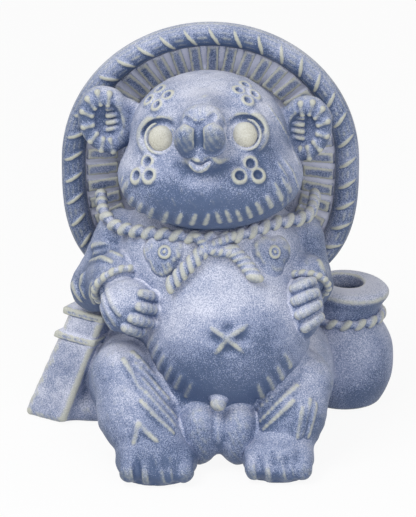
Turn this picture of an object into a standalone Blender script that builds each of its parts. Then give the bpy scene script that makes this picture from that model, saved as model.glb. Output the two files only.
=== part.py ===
"""Seated tanuki figurine in glazed stoneware: hollow pressed body and head, a hat behind the
head, and hand-made pieces that are luted on: ears, eyes, ropes, limbs, ledger, flask and tail.

Metres, +Z up, the figure faces -Y. Left and right are the figure's own: its right arm is at -X.
Places written (across, up) are points seen from in front, FRONT_TILT above the horizon: across
runs along +X, and up is measured square to that line of sight, from the origin.
"""

import math

import bmesh
import bpy
from mathutils import Euler, Matrix, Vector

# Joints and walls
SEAT_GAP = 0.0003          # slip line between a piece and what it is luted to
CLAY_WALL = 0.0065         # wall of the pressed body, head and hat
FRONT_TILT = math.radians(22)

# Body
TORSO_SIZE = (0.098, 0.078, 0.100)
TORSO_CENTRE = (0.0, -0.003, 0.084)
HIP_SIZE = (0.112, 0.094, 0.074)
HIP_CENTRE = (0.0, 0.002, 0.028)
HAUNCH_SIZE = (0.050, 0.064, 0.060)
HAUNCH_CENTRE = (0.036, 0.016, 0.026)
BELLY_SIZE = (0.080, 0.072, 0.078)
BELLY_CENTRE = (0.009, -0.024, 0.065)
BASE_OPENING_SIZE = (0.066, 0.056, 0.036)
BASE_OPENING_CENTRE = (0.0, 0.002, 0.0)
NAVEL_AT = (0.0085, 0.0455)
NAVEL_LENGTH = 0.017
NAVEL_RADIUS = 0.0018

# Head, looking up a little
CRANIUM_SIZE = (0.076, 0.074, 0.061)
CRANIUM_CENTRE = (-0.001, -0.006, 0.159)
JAW_SIZE = (0.090, 0.076, 0.049)
JAW_CENTRE = (0.0, -0.014, 0.1415)
MUZZLE_SIZE = (0.028, 0.030, 0.028)
MUZZLE_CENTRE = (-0.003, -0.040, 0.1680)
BRIDGE_SIZE = (0.016, 0.030, 0.022)
BRIDGE_CENTRE = (-0.003, -0.031, 0.1780)
NOSE_AT = (-0.0030, 0.1400)
NOSE_LOBE_SIZE = (0.0108, 0.0110, 0.0175)
NOSE_LOBE_APART = 0.0094
LIP_AT = (-0.0045, 0.1300)
LIP_WIDTH = 0.0095
LIP_RADIUS = 0.0017

# Eyes, pellets of white clay in round sockets
EYE_RIGHT_AT = (-0.0246, 0.1432)
EYE_LEFT_AT = (0.0163, 0.1447)
EYE_RADIUS = 0.0066
EYE_CROWN = 0.0034
EYE_PROUD = 0.0014         # how far the pellet's middle stands out of its socket
SOCKET_RADIUS = 0.0095
SOCKET_DEPTH = 0.0032

# Ears
EAR_RIGHT_CENTRE = (-0.0515, 0.008, 0.1615)
EAR_LEFT_CENTRE = (0.0465, 0.008, 0.1595)
EAR_SIZE = (0.026, 0.013, 0.034)
EAR_ROLL_RADIUS = 0.0042
EAR_LEAN = math.radians(14)

# Hat: a shallow cone behind the head, its lower half squared off
HAT_RADIUS = 0.073
HAT_CENTRE = (0.0, 0.032, 0.1315)
HAT_TILT = math.radians(3)     # the lower brim stands back to clear the shoulders
HAT_CONE_DEPTH = 0.014
HAT_SQUARENESS = 3.0       # exponent of the lower outline: 2 is round
HAT_RIB_COUNT = 30
HAT_RIB_HEIGHT = 0.0018
RIM_RADIUS = 0.0062
RIM_LAY_COUNT = 29         # slanting lays round the rim
RIM_LAY_HEIGHT = 0.0010

# Rope round the neck: from the hat over each shoulder, and along the breast between them
ROPE_RADIUS = 0.0032
COLLAR_RIGHT_END = ((-0.0530, 0.0190, 0.1180), (-0.0515, 0.0000, 0.1160), (-0.0450, -0.0110, 0.1130))
COLLAR_ON_BREAST = ((-0.0330, 0.0975), (-0.0200, 0.0962), (-0.0060, 0.0948), (0.0080, 0.0945),
                    (0.0190, 0.0975), (0.0320, 0.1020))
COLLAR_LEFT_END = ((0.0430, -0.0100, 0.1165), (0.0485, 0.0000, 0.1165), (0.0505, 0.0190, 0.1170))
ROPE_LAY_LENGTH = 0.0072
ROPE_LAY_HEIGHT = 0.0005
KNOT_SIZE = (0.016, 0.012, 0.014)
KNOT_AT = (0.0030, 0.0915)
ROPE_END_RADIUS = 0.0038
ROPE_END_RIGHT = ((-0.0030, 0.0890), (-0.0100, 0.0815), (-0.0180, 0.0725))
ROPE_END_LEFT = ((0.0090, 0.0895), (0.0155, 0.0825), (0.0205, 0.0745))

# Breast patches below the rope
PATCH_RIGHT_AT = (-0.0230, 0.0860)
PATCH_LEFT_AT = (0.0300, 0.0860)
PATCH_RADIUS = 0.0100
PATCH_THICKNESS = 0.0026

# Arms and paws
ARM_RIGHT = (((-0.043, 0.004, 0.102), 0.0140), ((-0.0560, -0.001, 0.0770), 0.0130),
             ((-0.0465, -0.0190, 0.0905), 0.0125))
ARM_LEFT = (((0.043, 0.004, 0.101), 0.0135), ((0.0545, 0.000, 0.0790), 0.0120),
            ((0.0485, -0.0170, 0.0900), 0.0120))
PAW_RIGHT_CENTRE = (-0.0400, -0.0350, 0.0810)
PAW_LEFT_CENTRE = (0.0460, -0.0320, 0.0790)
PAW_RIGHT_SIZE = (0.026, 0.025, 0.027)
PAW_LEFT_SIZE = (0.021, 0.024, 0.030)
FINGER_RADIUS = 0.0030
FINGER_LENGTH = 0.0110
FINGER_COUNT = 4
CUFF_RADIUS = 0.0030
CUFF_TUFTS = 9

# Legs and feet
LEG_RIGHT = (((-0.036, 0.010, 0.026), 0.022), ((-0.0445, -0.027, 0.041), 0.0150),
             ((-0.0370, -0.038, 0.027), 0.0185), ((-0.0285, -0.046, 0.014), 0.0175))
LEG_LEFT = (((0.034, 0.010, 0.024), 0.021), ((0.0440, -0.027, 0.038), 0.0145),
            ((0.0385, -0.036, 0.026), 0.0170), ((0.0345, -0.044, 0.013), 0.0155))
FOOT_RIGHT_CENTRE = (-0.0262, -0.0540, 0.0080)
FOOT_LEFT_CENTRE = (0.0330, -0.0510, 0.0080)
FOOT_RIGHT_SIZE = (0.040, 0.038, 0.028)
FOOT_LEFT_SIZE = (0.035, 0.036, 0.028)
TOE_COUNT = 4
TOE_RADIUS = 0.0052

# Money bag between the legs
BAG_CENTRE = (0.0040, -0.0440, 0.0160)
BAG_LOBE_SIZE = (0.0215, 0.025, 0.035)
BAG_LOBE_APART = 0.0190
BUD_AT = (0.0046, 0.0150)
BUD_RADIUS = 0.0044

# Tail, flat against the back
TAIL = (((0.010, 0.046, 0.020), 0.013), ((0.012, 0.058, 0.018), 0.0145),
        ((0.010, 0.066, 0.032), 0.0120), ((0.006, 0.068, 0.048), 0.0070))

# Ledger at the right hip: a thick bound book that flares towards the floor
LEDGER_TOP_CENTRE = (-0.0567, 0.0087, 0.0600)
LEDGER_FOOT_CENTRE = (-0.0743, 0.0296, 0.0)
LEDGER_TOP_SIZE = (0.021, 0.018)
LEDGER_FOOT_SIZE = (0.025, 0.024)
LEDGER_TURN = math.radians(-35)
LEDGER_ROUNDING = 0.0022
BAND_HEIGHT = 0.0038
BAND_PROUD = 0.0016
BAND_TOP_Z = 0.0555
BAND_LOW_Z = 0.0415

# Flask at the left hip
FLASK_FOOT_CENTRE = (0.0662, 0.0450, 0.0)
FLASK_FOOT_RADIUS = 0.0170
FLASK_BELLY_RADIUS = 0.0240
FLASK_BELLY_Z = 0.0215
FLASK_NECK_RADIUS = 0.0178
FLASK_NECK_Z = 0.0470
FLASK_RIM_RADIUS = 0.0218
FLASK_RIM_Z = 0.0570
FLASK_HEIGHT = 0.0610
FLASK_WALL = 0.0045
FLASK_MOUTH_RADIUS = 0.0082
FLASK_CORD_RADIUS = 0.0026
FLASK_CORD_LAYS = 11

# Mesh fineness: voxels that the forms are pressed from, and the triangles that each one keeps
BODY_VOXEL = 0.0040
HEAD_VOXEL = 0.0034
LIMB_VOXEL = 0.0030
SMALL_VOXEL = 0.0018
BODY_FACETS = 820
INSIDE_FACETS = 260
HEAD_FACETS = 900
LIMB_FACETS = 340
PAW_FACETS = 360
EAR_FACETS = 260
SMALL_FACETS = 160
SOFTENING = 4              # smoothing passes over a pressed form
ROLL_POINTS = 1            # bevel resolution of rolled coils
FLOOR_REACH = 0.5          # the block that trims everything level at the floor

# Glazes: colour, roughness
BLUE_GLAZE = ((0.19, 0.25, 0.42, 1.0), 0.42)
CREAM_GLAZE = ((0.66, 0.64, 0.52, 1.0), 0.38)


def start_scene(name):
    """Empties the scene and makes the collections for the parts and for the cutters."""
    for old in list(bpy.data.objects):
        bpy.data.objects.remove(old)
    made = {}
    for title in (name, "cutters"):
        made[title] = bpy.data.collections.new(title)
        bpy.context.scene.collection.children.link(made[title])
    root = bpy.data.objects.new("figure", None)
    made[name].objects.link(root)
    return made[name], made["cutters"], root


def glaze(name, colour, roughness):
    made = bpy.data.materials.new(name)
    made.use_nodes = True
    shader = made.node_tree.nodes["Principled BSDF"]
    shader.inputs["Base Color"].default_value = colour
    shader.inputs["Roughness"].default_value = roughness
    shader.inputs["Metallic"].default_value = 0.0
    made.diffuse_color = colour
    return made


def helper(name, mesh):
    """A hidden object that only shapes or trims other pieces."""
    made = bpy.data.objects.new(name, mesh)
    made.hide_render = True
    made.display_type = "WIRE"
    CUTTERS.objects.link(made)
    made.parent = ROOT
    return made


def evaluated_mesh(obj, weld=0.0):
    """The object's mesh with its modifiers applied, and its curve caps welded on."""
    bpy.context.view_layer.update()
    graph = bpy.context.evaluated_depsgraph_get()
    mesh = bpy.data.meshes.new_from_object(obj.evaluated_get(graph))
    work = bmesh.new()
    work.from_mesh(mesh)
    if weld:
        bmesh.ops.remove_doubles(work, verts=work.verts, dist=weld)
    bmesh.ops.recalc_face_normals(work, faces=work.faces)
    work.to_mesh(mesh)
    work.free()
    return mesh


def form_from(obj, name, weld=0.0):
    """Replaces a working object by a helper that holds its finished mesh."""
    mesh = evaluated_mesh(obj, weld)
    mesh.transform(obj.matrix_world)
    bpy.data.objects.remove(obj)
    return helper(name, mesh)


def half(size):
    return Vector(size) / 2


def lump(centre, radii, turn=(0.0, 0.0, 0.0)):
    """A ball of clay: its centre, three radii and its turn."""
    return Matrix.LocRotScale(Vector(centre), Euler(turn), Vector(radii))


def rolled(stations, count=7):
    """Lumps that swell and taper along a bent limb, from stations of (centre, radius)."""
    lumps = []
    for (start, r0), (end, r1) in zip(stations, stations[1:]):
        for step in range(count):
            t = step / count
            radius = r0 + (r1 - r0) * t
            lumps.append(lump(Vector(start).lerp(Vector(end), t), (radius,) * 3))
    last, radius = stations[-1]
    lumps.append(lump(last, (radius,) * 3))
    return lumps


def pressed(name, lumps, voxel, facets, softening=SOFTENING):
    """One closed clay form: lumps pressed together, with the creases between them softened."""
    work = bmesh.new()
    for place in lumps:
        before = len(work.verts)
        work.from_mesh(BALL)
        work.verts.ensure_lookup_table()
        bmesh.ops.transform(work, matrix=place, verts=work.verts[before:])
    mesh = bpy.data.meshes.new(name)
    work.to_mesh(mesh)
    work.free()
    made = helper(name, mesh)
    remesh = made.modifiers.new("press", "REMESH")
    remesh.mode = "VOXEL"
    remesh.voxel_size = voxel
    smooth = made.modifiers.new("soften", "SMOOTH")
    smooth.factor = 0.5
    smooth.iterations = softening
    made = form_from(made, name)
    triangles = sum(len(face.vertices) - 2 for face in made.data.polygons)
    lighten = made.modifiers.new("lighten", "DECIMATE")
    lighten.ratio = min(1.0, facets / triangles)
    return form_from(made, name)


def turned(name, profile, steps):
    """A form turned on the Z axis from (radius, z) points that run from the top down."""
    work = bmesh.new()
    points = [work.verts.new((radius, 0.0, z)) for radius, z in profile]
    for first, second in zip(points, points[1:]):
        work.edges.new((first, second))
    mesh = bpy.data.meshes.new(name)
    work.to_mesh(mesh)
    work.free()
    made = helper(name, mesh)
    screw = made.modifiers.new("turn", "SCREW")
    screw.steps = screw.render_steps = steps
    screw.use_merge_vertices = True
    screw.merge_threshold = 0.00005
    return form_from(made, name, weld=0.00005)


def coil(name, points, radii, closed=False):
    """A rolled coil of clay along points, with a radius at each of them."""
    curve = bpy.data.curves.new(name, "CURVE")
    curve.dimensions = "3D"
    curve.bevel_depth = 1.0
    curve.bevel_resolution = ROLL_POINTS
    curve.use_fill_caps = True
    spline = curve.splines.new("POLY")
    spline.points.add(len(points) - 1)
    spline.use_cyclic_u = closed
    for place, point, radius in zip(spline.points, points, radii):
        place.co = (*point, 1.0)
        place.radius = radius
    made = helper(name, curve)
    return form_from(made, name, weld=0.00001)


def smooth_path(points, count):
    """Evenly spaced points on a smooth curve through the given ones."""
    knots = [Vector(p) for p in points]
    knots = [2 * knots[0] - knots[1], *knots, 2 * knots[-1] - knots[-2]]
    dense = []
    for a, b, c, d in zip(knots, knots[1:], knots[2:], knots[3:]):
        for step in range(24):
            t = step / 24
            dense.append(0.5 * (2 * b + (c - a) * t + (2 * a - 5 * b + 4 * c - d) * t * t
                                + (3 * b - a - 3 * c + d) * t ** 3))
    dense.append(knots[-2])
    runs = [0.0]
    for first, second in zip(dense, dense[1:]):
        runs.append(runs[-1] + (second - first).length)
    even = []
    index = 0
    for step in range(count):
        along = runs[-1] * step / (count - 1)
        while index < len(runs) - 2 and runs[index + 1] < along:
            index += 1
        share = (along - runs[index]) / max(runs[index + 1] - runs[index], 1e-9)
        even.append(dense[index].lerp(dense[index + 1], share))
    return even, runs[-1]


def rope(name, points, radius):
    """A laid rope: a coil whose thickness swells once at each lay."""
    _, length = smooth_path(points, 2)
    lays = max(2, round(length / ROPE_LAY_LENGTH))
    path, _ = smooth_path(points, 2 * lays + 1)
    radii = [radius + (ROPE_LAY_HEIGHT if step % 2 else -ROPE_LAY_HEIGHT)
             for step in range(len(path))]
    return coil(name, path, radii)


def front_ray(across, up):
    """Start and direction of the line of sight through a point seen from in front."""
    sight = Vector((0.0, math.cos(FRONT_TILT), -math.sin(FRONT_TILT)))
    upward = Vector((0.0, math.sin(FRONT_TILT), math.cos(FRONT_TILT)))
    return Vector((across, 0.0, 0.0)) + up * upward - sight, sight


def seen_on(form, across, up):
    """Point and outward normal where a line of sight from in front meets a form."""
    start, sight = front_ray(across, up)
    found, point, normal, _ = form.ray_cast(start, sight)
    if not found:
        _, point, normal, _ = form.closest_point_on_mesh(start + sight)
    return point, normal


def facing(normal, centre, radii):
    """A lump whose local Z points along a normal."""
    turn = normal.to_track_quat("Z", "Y")
    return Matrix.LocRotScale(Vector(centre), turn, Vector(radii))


def clearance(form, gap=SEAT_GAP):
    """A copy of a form grown by the slip line or another gap, to trim the pieces that seat on it."""
    mesh = form.data.copy()
    moved = [v.co + v.normal * gap for v in mesh.vertices]
    for vertex, place in zip(mesh.vertices, moved):
        vertex.co = place
    return helper(form.name + "_seat", mesh)


def combine(form, other, operation):
    """Applies one Boolean to a form at once, and returns it."""
    step = form.modifiers.new(operation.lower(), "BOOLEAN")
    step.operation = operation
    step.object = other
    mesh = evaluated_mesh(form)
    form.modifiers.clear()
    form.data = mesh
    return form


def piece(name, form, finish, seats, solver="EXACT"):
    """Plans a named part: the form, trimmed by the seats of what carries it."""
    PLANNED.append((name, form, finish, seats, solver))


def make_pieces():
    """Makes the planned parts, each trimmed by its seats and level at the floor."""
    for name, form, finish, seats, solver in PLANNED:
        made = bpy.data.objects.new(name, form.data.copy())
        PARTS.objects.link(made)
        made.parent = ROOT
        made.data.materials.clear()
        made.data.materials.append(finish)
        for cutter in [*seats, FLOOR]:
            trim = made.modifiers.new(cutter.name, "BOOLEAN")
            trim.operation = "DIFFERENCE"
            trim.solver = solver
            trim.object = cutter
        made.data.shade_smooth()
        made.data.set_sharp_from_angle(angle=math.radians(50))


def unit_ball():
    work = bmesh.new()
    bmesh.ops.create_uvsphere(work, u_segments=32, v_segments=20, radius=1.0)
    mesh = bpy.data.meshes.new("ball")
    work.to_mesh(mesh)
    work.free()
    return mesh


def floor_block():
    work = bmesh.new()
    bmesh.ops.create_cube(work, size=1.0, matrix=Matrix.LocRotScale(
        Vector((0.0, 0.0, -FLOOR_REACH / 2)), None, Vector((2, 2, 1)) * FLOOR_REACH))
    mesh = bpy.data.meshes.new("floor")
    work.to_mesh(mesh)
    work.free()
    return helper("floor", mesh)


def body_lumps(wall=0.0):
    """The swellings of the body, each drawn in by the wall for its inside."""
    thin = Vector((wall, wall, wall))
    lumps = [lump(TORSO_CENTRE, half(TORSO_SIZE) - thin), lump(HIP_CENTRE, half(HIP_SIZE) - thin),
             lump(BELLY_CENTRE, half(BELLY_SIZE) - thin)]
    for side in (-1, 1):
        middle = Vector((side * HAUNCH_CENTRE[0], *HAUNCH_CENTRE[1:]))
        lumps.append(lump(middle, half(HAUNCH_SIZE) - thin))
    return lumps


def body_form():
    return pressed("body_form", body_lumps(), BODY_VOXEL, BODY_FACETS)


def body_inside():
    """The hollow of the body, which is open at the base."""
    opening = lump(BASE_OPENING_CENTRE, half(BASE_OPENING_SIZE))
    return pressed("body_inside", [*body_lumps(CLAY_WALL), opening], BODY_VOXEL, INSIDE_FACETS)


def head_form():
    lumps = [lump(CRANIUM_CENTRE, half(CRANIUM_SIZE)), lump(JAW_CENTRE, half(JAW_SIZE)),
             lump(MUZZLE_CENTRE, half(MUZZLE_SIZE)), lump(BRIDGE_CENTRE, half(BRIDGE_SIZE))]
    return pressed("head_form", lumps, HEAD_VOXEL, HEAD_FACETS, softening=3)


def navel_cutter(form):
    """Two crossed grooves pressed into the belly."""
    middle, _ = seen_on(form, *NAVEL_AT)
    lumps = []
    for slope in (-0.55, 0.55):
        reach = NAVEL_LENGTH / 2 * math.cos(slope)
        rise = NAVEL_LENGTH / 2 * math.sin(slope)
        start, _ = seen_on(form, NAVEL_AT[0] - reach, NAVEL_AT[1] - rise)
        end, _ = seen_on(form, NAVEL_AT[0] + reach, NAVEL_AT[1] + rise)
        lumps += rolled(((start, NAVEL_RADIUS * 0.6), (middle, NAVEL_RADIUS),
                         (end, NAVEL_RADIUS * 0.6)), count=5)
    return pressed("navel", lumps, NAVEL_RADIUS * 0.5, SMALL_FACETS, softening=1)


def squared_below(point):
    """Moves a point of the round hat outwards in its lower half, where the brim is squared off."""
    if point.z >= 0.0:
        return point
    reach = math.hypot(point.x, point.z)
    power = HAT_SQUARENESS
    share = (abs(point.x / reach) ** power + abs(point.z / reach) ** power) ** (-1.0 / power)
    return Vector((point.x * share, point.y, point.z * share))


def on_hat(flat):
    """Stands a point of the hat, given round its Z axis with the rim at 0, behind the head."""
    upright = squared_below(Vector((flat.x, flat.z, flat.y)))
    return Vector(HAT_CENTRE) + Matrix.Rotation(HAT_TILT, 3, "X") @ upright


def hat_form():
    """The ribbed cone, hollow in front, with its point behind."""
    edge = HAT_RADIUS - RIM_RADIUS
    crown = edge * 0.22
    profile = [(0.0, HAT_CONE_DEPTH + CLAY_WALL), (crown, HAT_CONE_DEPTH * 0.95 + CLAY_WALL),
               (edge * 0.6, HAT_CONE_DEPTH * 0.58 + CLAY_WALL), (edge, CLAY_WALL), (edge, 0.0),
               (edge * 0.58, HAT_CONE_DEPTH * 0.45), (crown, HAT_CONE_DEPTH - CLAY_WALL * 0.4),
               (0.0, HAT_CONE_DEPTH - CLAY_WALL * 0.2)]
    form = turned("hat_form", profile, 2 * HAT_RIB_COUNT)
    step = math.pi / HAT_RIB_COUNT
    for vertex in form.data.vertices:
        ray = vertex.co.xy
        if ray.length > crown * 1.1 and round(math.atan2(ray.y, ray.x) / step) % 2:
            vertex.co.z -= HAT_RIB_HEIGHT
        vertex.co = on_hat(vertex.co)
    form.data.flip_normals()
    return form


def rim_form():
    """The rolled edge of the hat, swelling at each lay."""
    points = []
    radii = []
    for step in range(2 * RIM_LAY_COUNT):
        angle = math.pi * step / RIM_LAY_COUNT
        ring = HAT_RADIUS - RIM_RADIUS
        points.append(on_hat(Vector((ring * math.cos(angle), ring * math.sin(angle), 0.0))))
        radii.append(RIM_RADIUS - (RIM_LAY_HEIGHT if step % 2 else 0.0))
    return coil("rim_form", points, radii, closed=True)


def ear_form(name, centre, side):
    """A round cupped ear: a rolled edge round a shallow hollow."""
    rx, ry, rz = half(EAR_SIZE)
    lean = side * EAR_LEAN
    turn = Euler((0.0, lean, 0.0))
    lumps = [lump(centre, (rx - EAR_ROLL_RADIUS * 0.4, ry * 0.7, rz - EAR_ROLL_RADIUS * 0.4), turn)]
    root = Vector(centre) + Vector((-side * rx * 0.75, 0.0, -rz * 0.15))
    lumps.append(lump(root, (rx * 0.6, ry * 0.75, rz * 0.6)))
    for step in range(22):
        angle = math.tau * step / 22
        ring = Vector(((rx - EAR_ROLL_RADIUS) * math.cos(angle), -ry * 0.35,
                       (rz - EAR_ROLL_RADIUS) * math.sin(angle)))
        lumps.append(lump(Vector(centre) + turn.to_matrix() @ ring, (EAR_ROLL_RADIUS,) * 3))
    return pressed(name, lumps, SMALL_VOXEL, EAR_FACETS, softening=2)


def eye_form(name, head, place):
    point, normal = seen_on(head, *place)
    work = bmesh.new()
    bmesh.ops.create_uvsphere(work, u_segments=14, v_segments=7, radius=1.0, matrix=facing(
        normal, point + normal * EYE_PROUD, (EYE_RADIUS, EYE_RADIUS, EYE_CROWN)))
    mesh = bpy.data.meshes.new(name)
    work.to_mesh(mesh)
    work.free()
    return helper(name, mesh)


def socket_cutter(name, head, place):
    """The round hollow that an eye is set in."""
    point, normal = seen_on(head, *place)
    radius = (SOCKET_RADIUS ** 2 + SOCKET_DEPTH ** 2) / (2 * SOCKET_DEPTH)
    middle = point + normal * (radius - SOCKET_DEPTH)
    work = bmesh.new()
    bmesh.ops.create_uvsphere(work, u_segments=18, v_segments=10, radius=1.0,
                              matrix=facing(normal, middle, (radius,) * 3))
    mesh = bpy.data.meshes.new(name)
    work.to_mesh(mesh)
    work.free()
    return helper(name, mesh)


def nose_form(head):
    """Two nostril lobes side by side on the muzzle."""
    lumps = []
    for side in (-1, 1):
        point, _ = seen_on(head, NOSE_AT[0] + side * NOSE_LOBE_APART / 2, NOSE_AT[1])
        lumps.append(lump(point, half(NOSE_LOBE_SIZE), (FRONT_TILT, 0.0, 0.0)))
    bridge, normal = seen_on(head, NOSE_AT[0], NOSE_AT[1] + NOSE_LOBE_SIZE[2] * 0.42)
    lumps.append(lump(bridge - normal * NOSE_LOBE_APART * 0.45, (NOSE_LOBE_APART * 0.95,) * 3))
    return pressed("nose_form", lumps, SMALL_VOXEL * 0.7, SMALL_FACETS * 1.5, softening=1)


def lip_form(head):
    """The small smiling lower lip, a short coil on the face."""
    points = []
    for step in range(9):
        share = step / 4 - 1.0
        across = LIP_AT[0] + share * LIP_WIDTH / 2
        up = LIP_AT[1] + LIP_WIDTH * 0.28 * share * share
        points.append(seen_on(head, across, up)[0])
    radii = [LIP_RADIUS * (0.55 + 0.45 * math.sin(math.pi * step / 8)) for step in range(9)]
    return coil("lip_form", points, radii)


def collar_form(body):
    """The rope that ties the hat, laid over the shoulders and along the breast."""
    breast = [seen_on(body, *place) for place in COLLAR_ON_BREAST]
    laid = [point + normal * ROPE_RADIUS * 0.6 for point, normal in breast]
    return rope("collar_form", [*COLLAR_RIGHT_END, *laid, *COLLAR_LEFT_END], ROPE_RADIUS)


def rope_end_form(name, body, places):
    points = [seen_on(body, *place) for place in places]
    lifted = [point + normal * ROPE_END_RADIUS * 0.55 for point, normal in points]
    return rope(name, lifted, ROPE_END_RADIUS)


def knot_form(body):
    point, normal = seen_on(body, *KNOT_AT)
    middle = point + normal * ROPE_RADIUS * 1.6
    rx, ry, rz = half(KNOT_SIZE)
    lumps = [lump(middle, (rx * 0.8, ry, rz * 0.8), (0.0, 0.5, 0.0)),
             lump(middle, (rx * 0.8, ry * 0.9, rz * 0.75), (0.0, -0.6, 0.0))]
    return pressed("knot_form", lumps, SMALL_VOXEL * 0.7, SMALL_FACETS, softening=1)


def patch_form(name, body, place):
    """A rounded three-cornered patch, point down, with a button at its middle."""
    lumps = []
    for corner in range(3):
        angle = math.radians(270 + 120 * corner)
        across = place[0] + PATCH_RADIUS * 0.36 * math.cos(angle)
        up = place[1] + PATCH_RADIUS * 0.36 * math.sin(angle)
        point, normal = seen_on(body, across, up)
        lumps.append(facing(normal, point, (PATCH_RADIUS * 0.7, PATCH_RADIUS * 0.7, PATCH_THICKNESS)))
    point, normal = seen_on(body, *place)
    button = PATCH_RADIUS * 0.32
    lumps.append(facing(normal, point + normal * PATCH_THICKNESS * 0.5, (button, button, PATCH_THICKNESS)))
    return pressed(name, lumps, SMALL_VOXEL * 0.6, SMALL_FACETS, softening=1)


def paw_form(name, centre, size, side):
    """A closed paw with its fingers folded towards the belly."""
    rx, ry, rz = half(size)
    middle = Vector(centre)
    lumps = [lump(middle, (rx, ry * 0.95, rz), (0.0, 0.35 * side, 0.0))]
    for finger in range(FINGER_COUNT):
        drop = (finger - (FINGER_COUNT - 1) / 2) / FINGER_COUNT
        knuckle = middle + Vector((-side * rx * (0.25 - 0.5 * abs(drop)), -ry * 0.80, -rz * 1.7 * drop))
        tip = knuckle + Vector((-side * FINGER_LENGTH, ry * 0.15, -rz * 0.15))
        lumps += rolled(((knuckle, FINGER_RADIUS * 1.1), (tip, FINGER_RADIUS)), count=4)
    return pressed(name, lumps, SMALL_VOXEL, PAW_FACETS, softening=1)


def cuff_form(name, arm, paw):
    """The furred roll round the wrist, between the arm and the paw."""
    wrist, radius = arm[-1]
    axis = Vector(paw) - Vector(wrist)
    middle = Vector(wrist) + axis * 0.3
    turn = axis.to_track_quat("Z", "Y").to_matrix()
    points = []
    for step in range(2 * CUFF_TUFTS):
        angle = math.pi * step / CUFF_TUFTS
        ring = Vector((math.cos(angle), math.sin(angle), 0.0)) * radius
        points.append(middle + turn @ ring)
    radii = [CUFF_RADIUS * (1.12 if step % 2 else 0.88) for step in range(len(points))]
    return coil(name, points, radii, closed=True)


def foot_form(name, centre, size):
    """A broad foot with its toes side by side at the front."""
    rx, ry, rz = half(size)
    middle = Vector(centre)
    lumps = [lump(middle, (rx, ry * 0.9, rz))]
    for toe in range(TOE_COUNT):
        share = (toe - (TOE_COUNT - 1) / 2) / TOE_COUNT
        heel = middle + Vector((share * rx * 1.65, -ry * 0.25, rz * 0.25))
        tip = heel + Vector((share * rx * 0.10, -ry * 0.55 + abs(share) * ry * 0.35, -rz * 0.35))
        lumps += rolled(((heel, TOE_RADIUS * 1.1), (tip, TOE_RADIUS)), count=4)
    return pressed(name, lumps, SMALL_VOXEL, PAW_FACETS, softening=1)


def bag_form():
    lumps = []
    for side in (-1, 1):
        middle = Vector(BAG_CENTRE) + Vector((side * BAG_LOBE_APART / 2, 0.0, 0.0))
        lumps.append(lump(middle, half(BAG_LOBE_SIZE)))
    return pressed("bag_form", lumps, SMALL_VOXEL, PAW_FACETS, softening=1)


def bud_form(body):
    point, normal = seen_on(body, *BUD_AT)
    middle = point + normal * BUD_RADIUS * 0.4
    return pressed("bud_form", [lump(middle, (BUD_RADIUS,) * 3)], BUD_RADIUS * 0.3, SMALL_FACETS * 0.6)


def block(name, low, low_size, high, high_size, turn, rounding):
    """A block lofted between two level rectangles, with rounded edges."""
    work = bmesh.new()
    bmesh.ops.create_cube(work, size=1.0)
    spin = Matrix.Rotation(turn, 3, "Z")
    for vertex in work.verts:
        centre, size = (high, high_size) if vertex.co.z > 0 else (low, low_size)
        flat = Vector((vertex.co.x * size[0], vertex.co.y * size[1], 0.0))
        vertex.co = Vector(centre) + spin @ flat
    mesh = bpy.data.meshes.new(name)
    work.to_mesh(mesh)
    work.free()
    made = helper(name, mesh)
    bevel = made.modifiers.new("round", "BEVEL")
    bevel.width = rounding
    bevel.segments = 2
    return form_from(made, name)


def ledger_at(z):
    """Middle and size of the ledger's level section at a height."""
    top, foot = Vector(LEDGER_TOP_CENTRE), Vector(LEDGER_FOOT_CENTRE)
    share = (z - foot.z) / (top.z - foot.z)
    size = [f + (t - f) * share for t, f in zip(LEDGER_TOP_SIZE, LEDGER_FOOT_SIZE)]
    return foot.lerp(top, share), size


def ledger_form():
    below = -2 * LEDGER_ROUNDING
    low, low_size = ledger_at(below)
    return block("ledger_form", low, low_size, LEDGER_TOP_CENTRE, LEDGER_TOP_SIZE,
                 LEDGER_TURN, LEDGER_ROUNDING)


def band_form(name, z):
    """A raised strap round the ledger."""
    low, low_size = ledger_at(z - BAND_HEIGHT / 2)
    high, high_size = ledger_at(z + BAND_HEIGHT / 2)
    proud = [[side + 2 * BAND_PROUD for side in size] for size in (low_size, high_size)]
    return block(name, low, proud[0], high, proud[1], LEDGER_TURN, BAND_PROUD * 0.6)


def flask_outline():
    """(radius, z) down the outside of the flask, from its lip to below its foot."""
    lip = FLASK_HEIGHT - FLASK_RIM_Z
    shoulder_z = (FLASK_BELLY_Z + FLASK_NECK_Z) / 2
    shoulder = FLASK_NECK_RADIUS + (FLASK_BELLY_RADIUS - FLASK_NECK_RADIUS) * 0.68
    return [(FLASK_RIM_RADIUS - lip * 0.9, FLASK_HEIGHT),
            (FLASK_RIM_RADIUS - lip * 0.2, FLASK_HEIGHT - lip * 0.4), (FLASK_RIM_RADIUS, FLASK_RIM_Z),
            (FLASK_RIM_RADIUS - lip * 0.35, FLASK_RIM_Z - lip * 0.7),
            (FLASK_NECK_RADIUS + lip * 0.1, FLASK_NECK_Z + lip * 0.7), (FLASK_NECK_RADIUS, FLASK_NECK_Z),
            (shoulder, shoulder_z), (FLASK_BELLY_RADIUS, FLASK_BELLY_Z + lip),
            (FLASK_BELLY_RADIUS, FLASK_BELLY_Z - lip),
            ((FLASK_FOOT_RADIUS + FLASK_BELLY_RADIUS) / 2 + lip * 0.3, FLASK_BELLY_Z * 0.30),
            (FLASK_FOOT_RADIUS, 0.0), (FLASK_FOOT_RADIUS, -FLASK_WALL)]


def flask_form():
    outline = flask_outline()
    profile = [(0.0, FLASK_HEIGHT), *outline, (0.0, -FLASK_WALL)]
    form = turned("flask_form", profile, 20)
    form.data.transform(Matrix.Translation(FLASK_FOOT_CENTRE))
    return form


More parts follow.
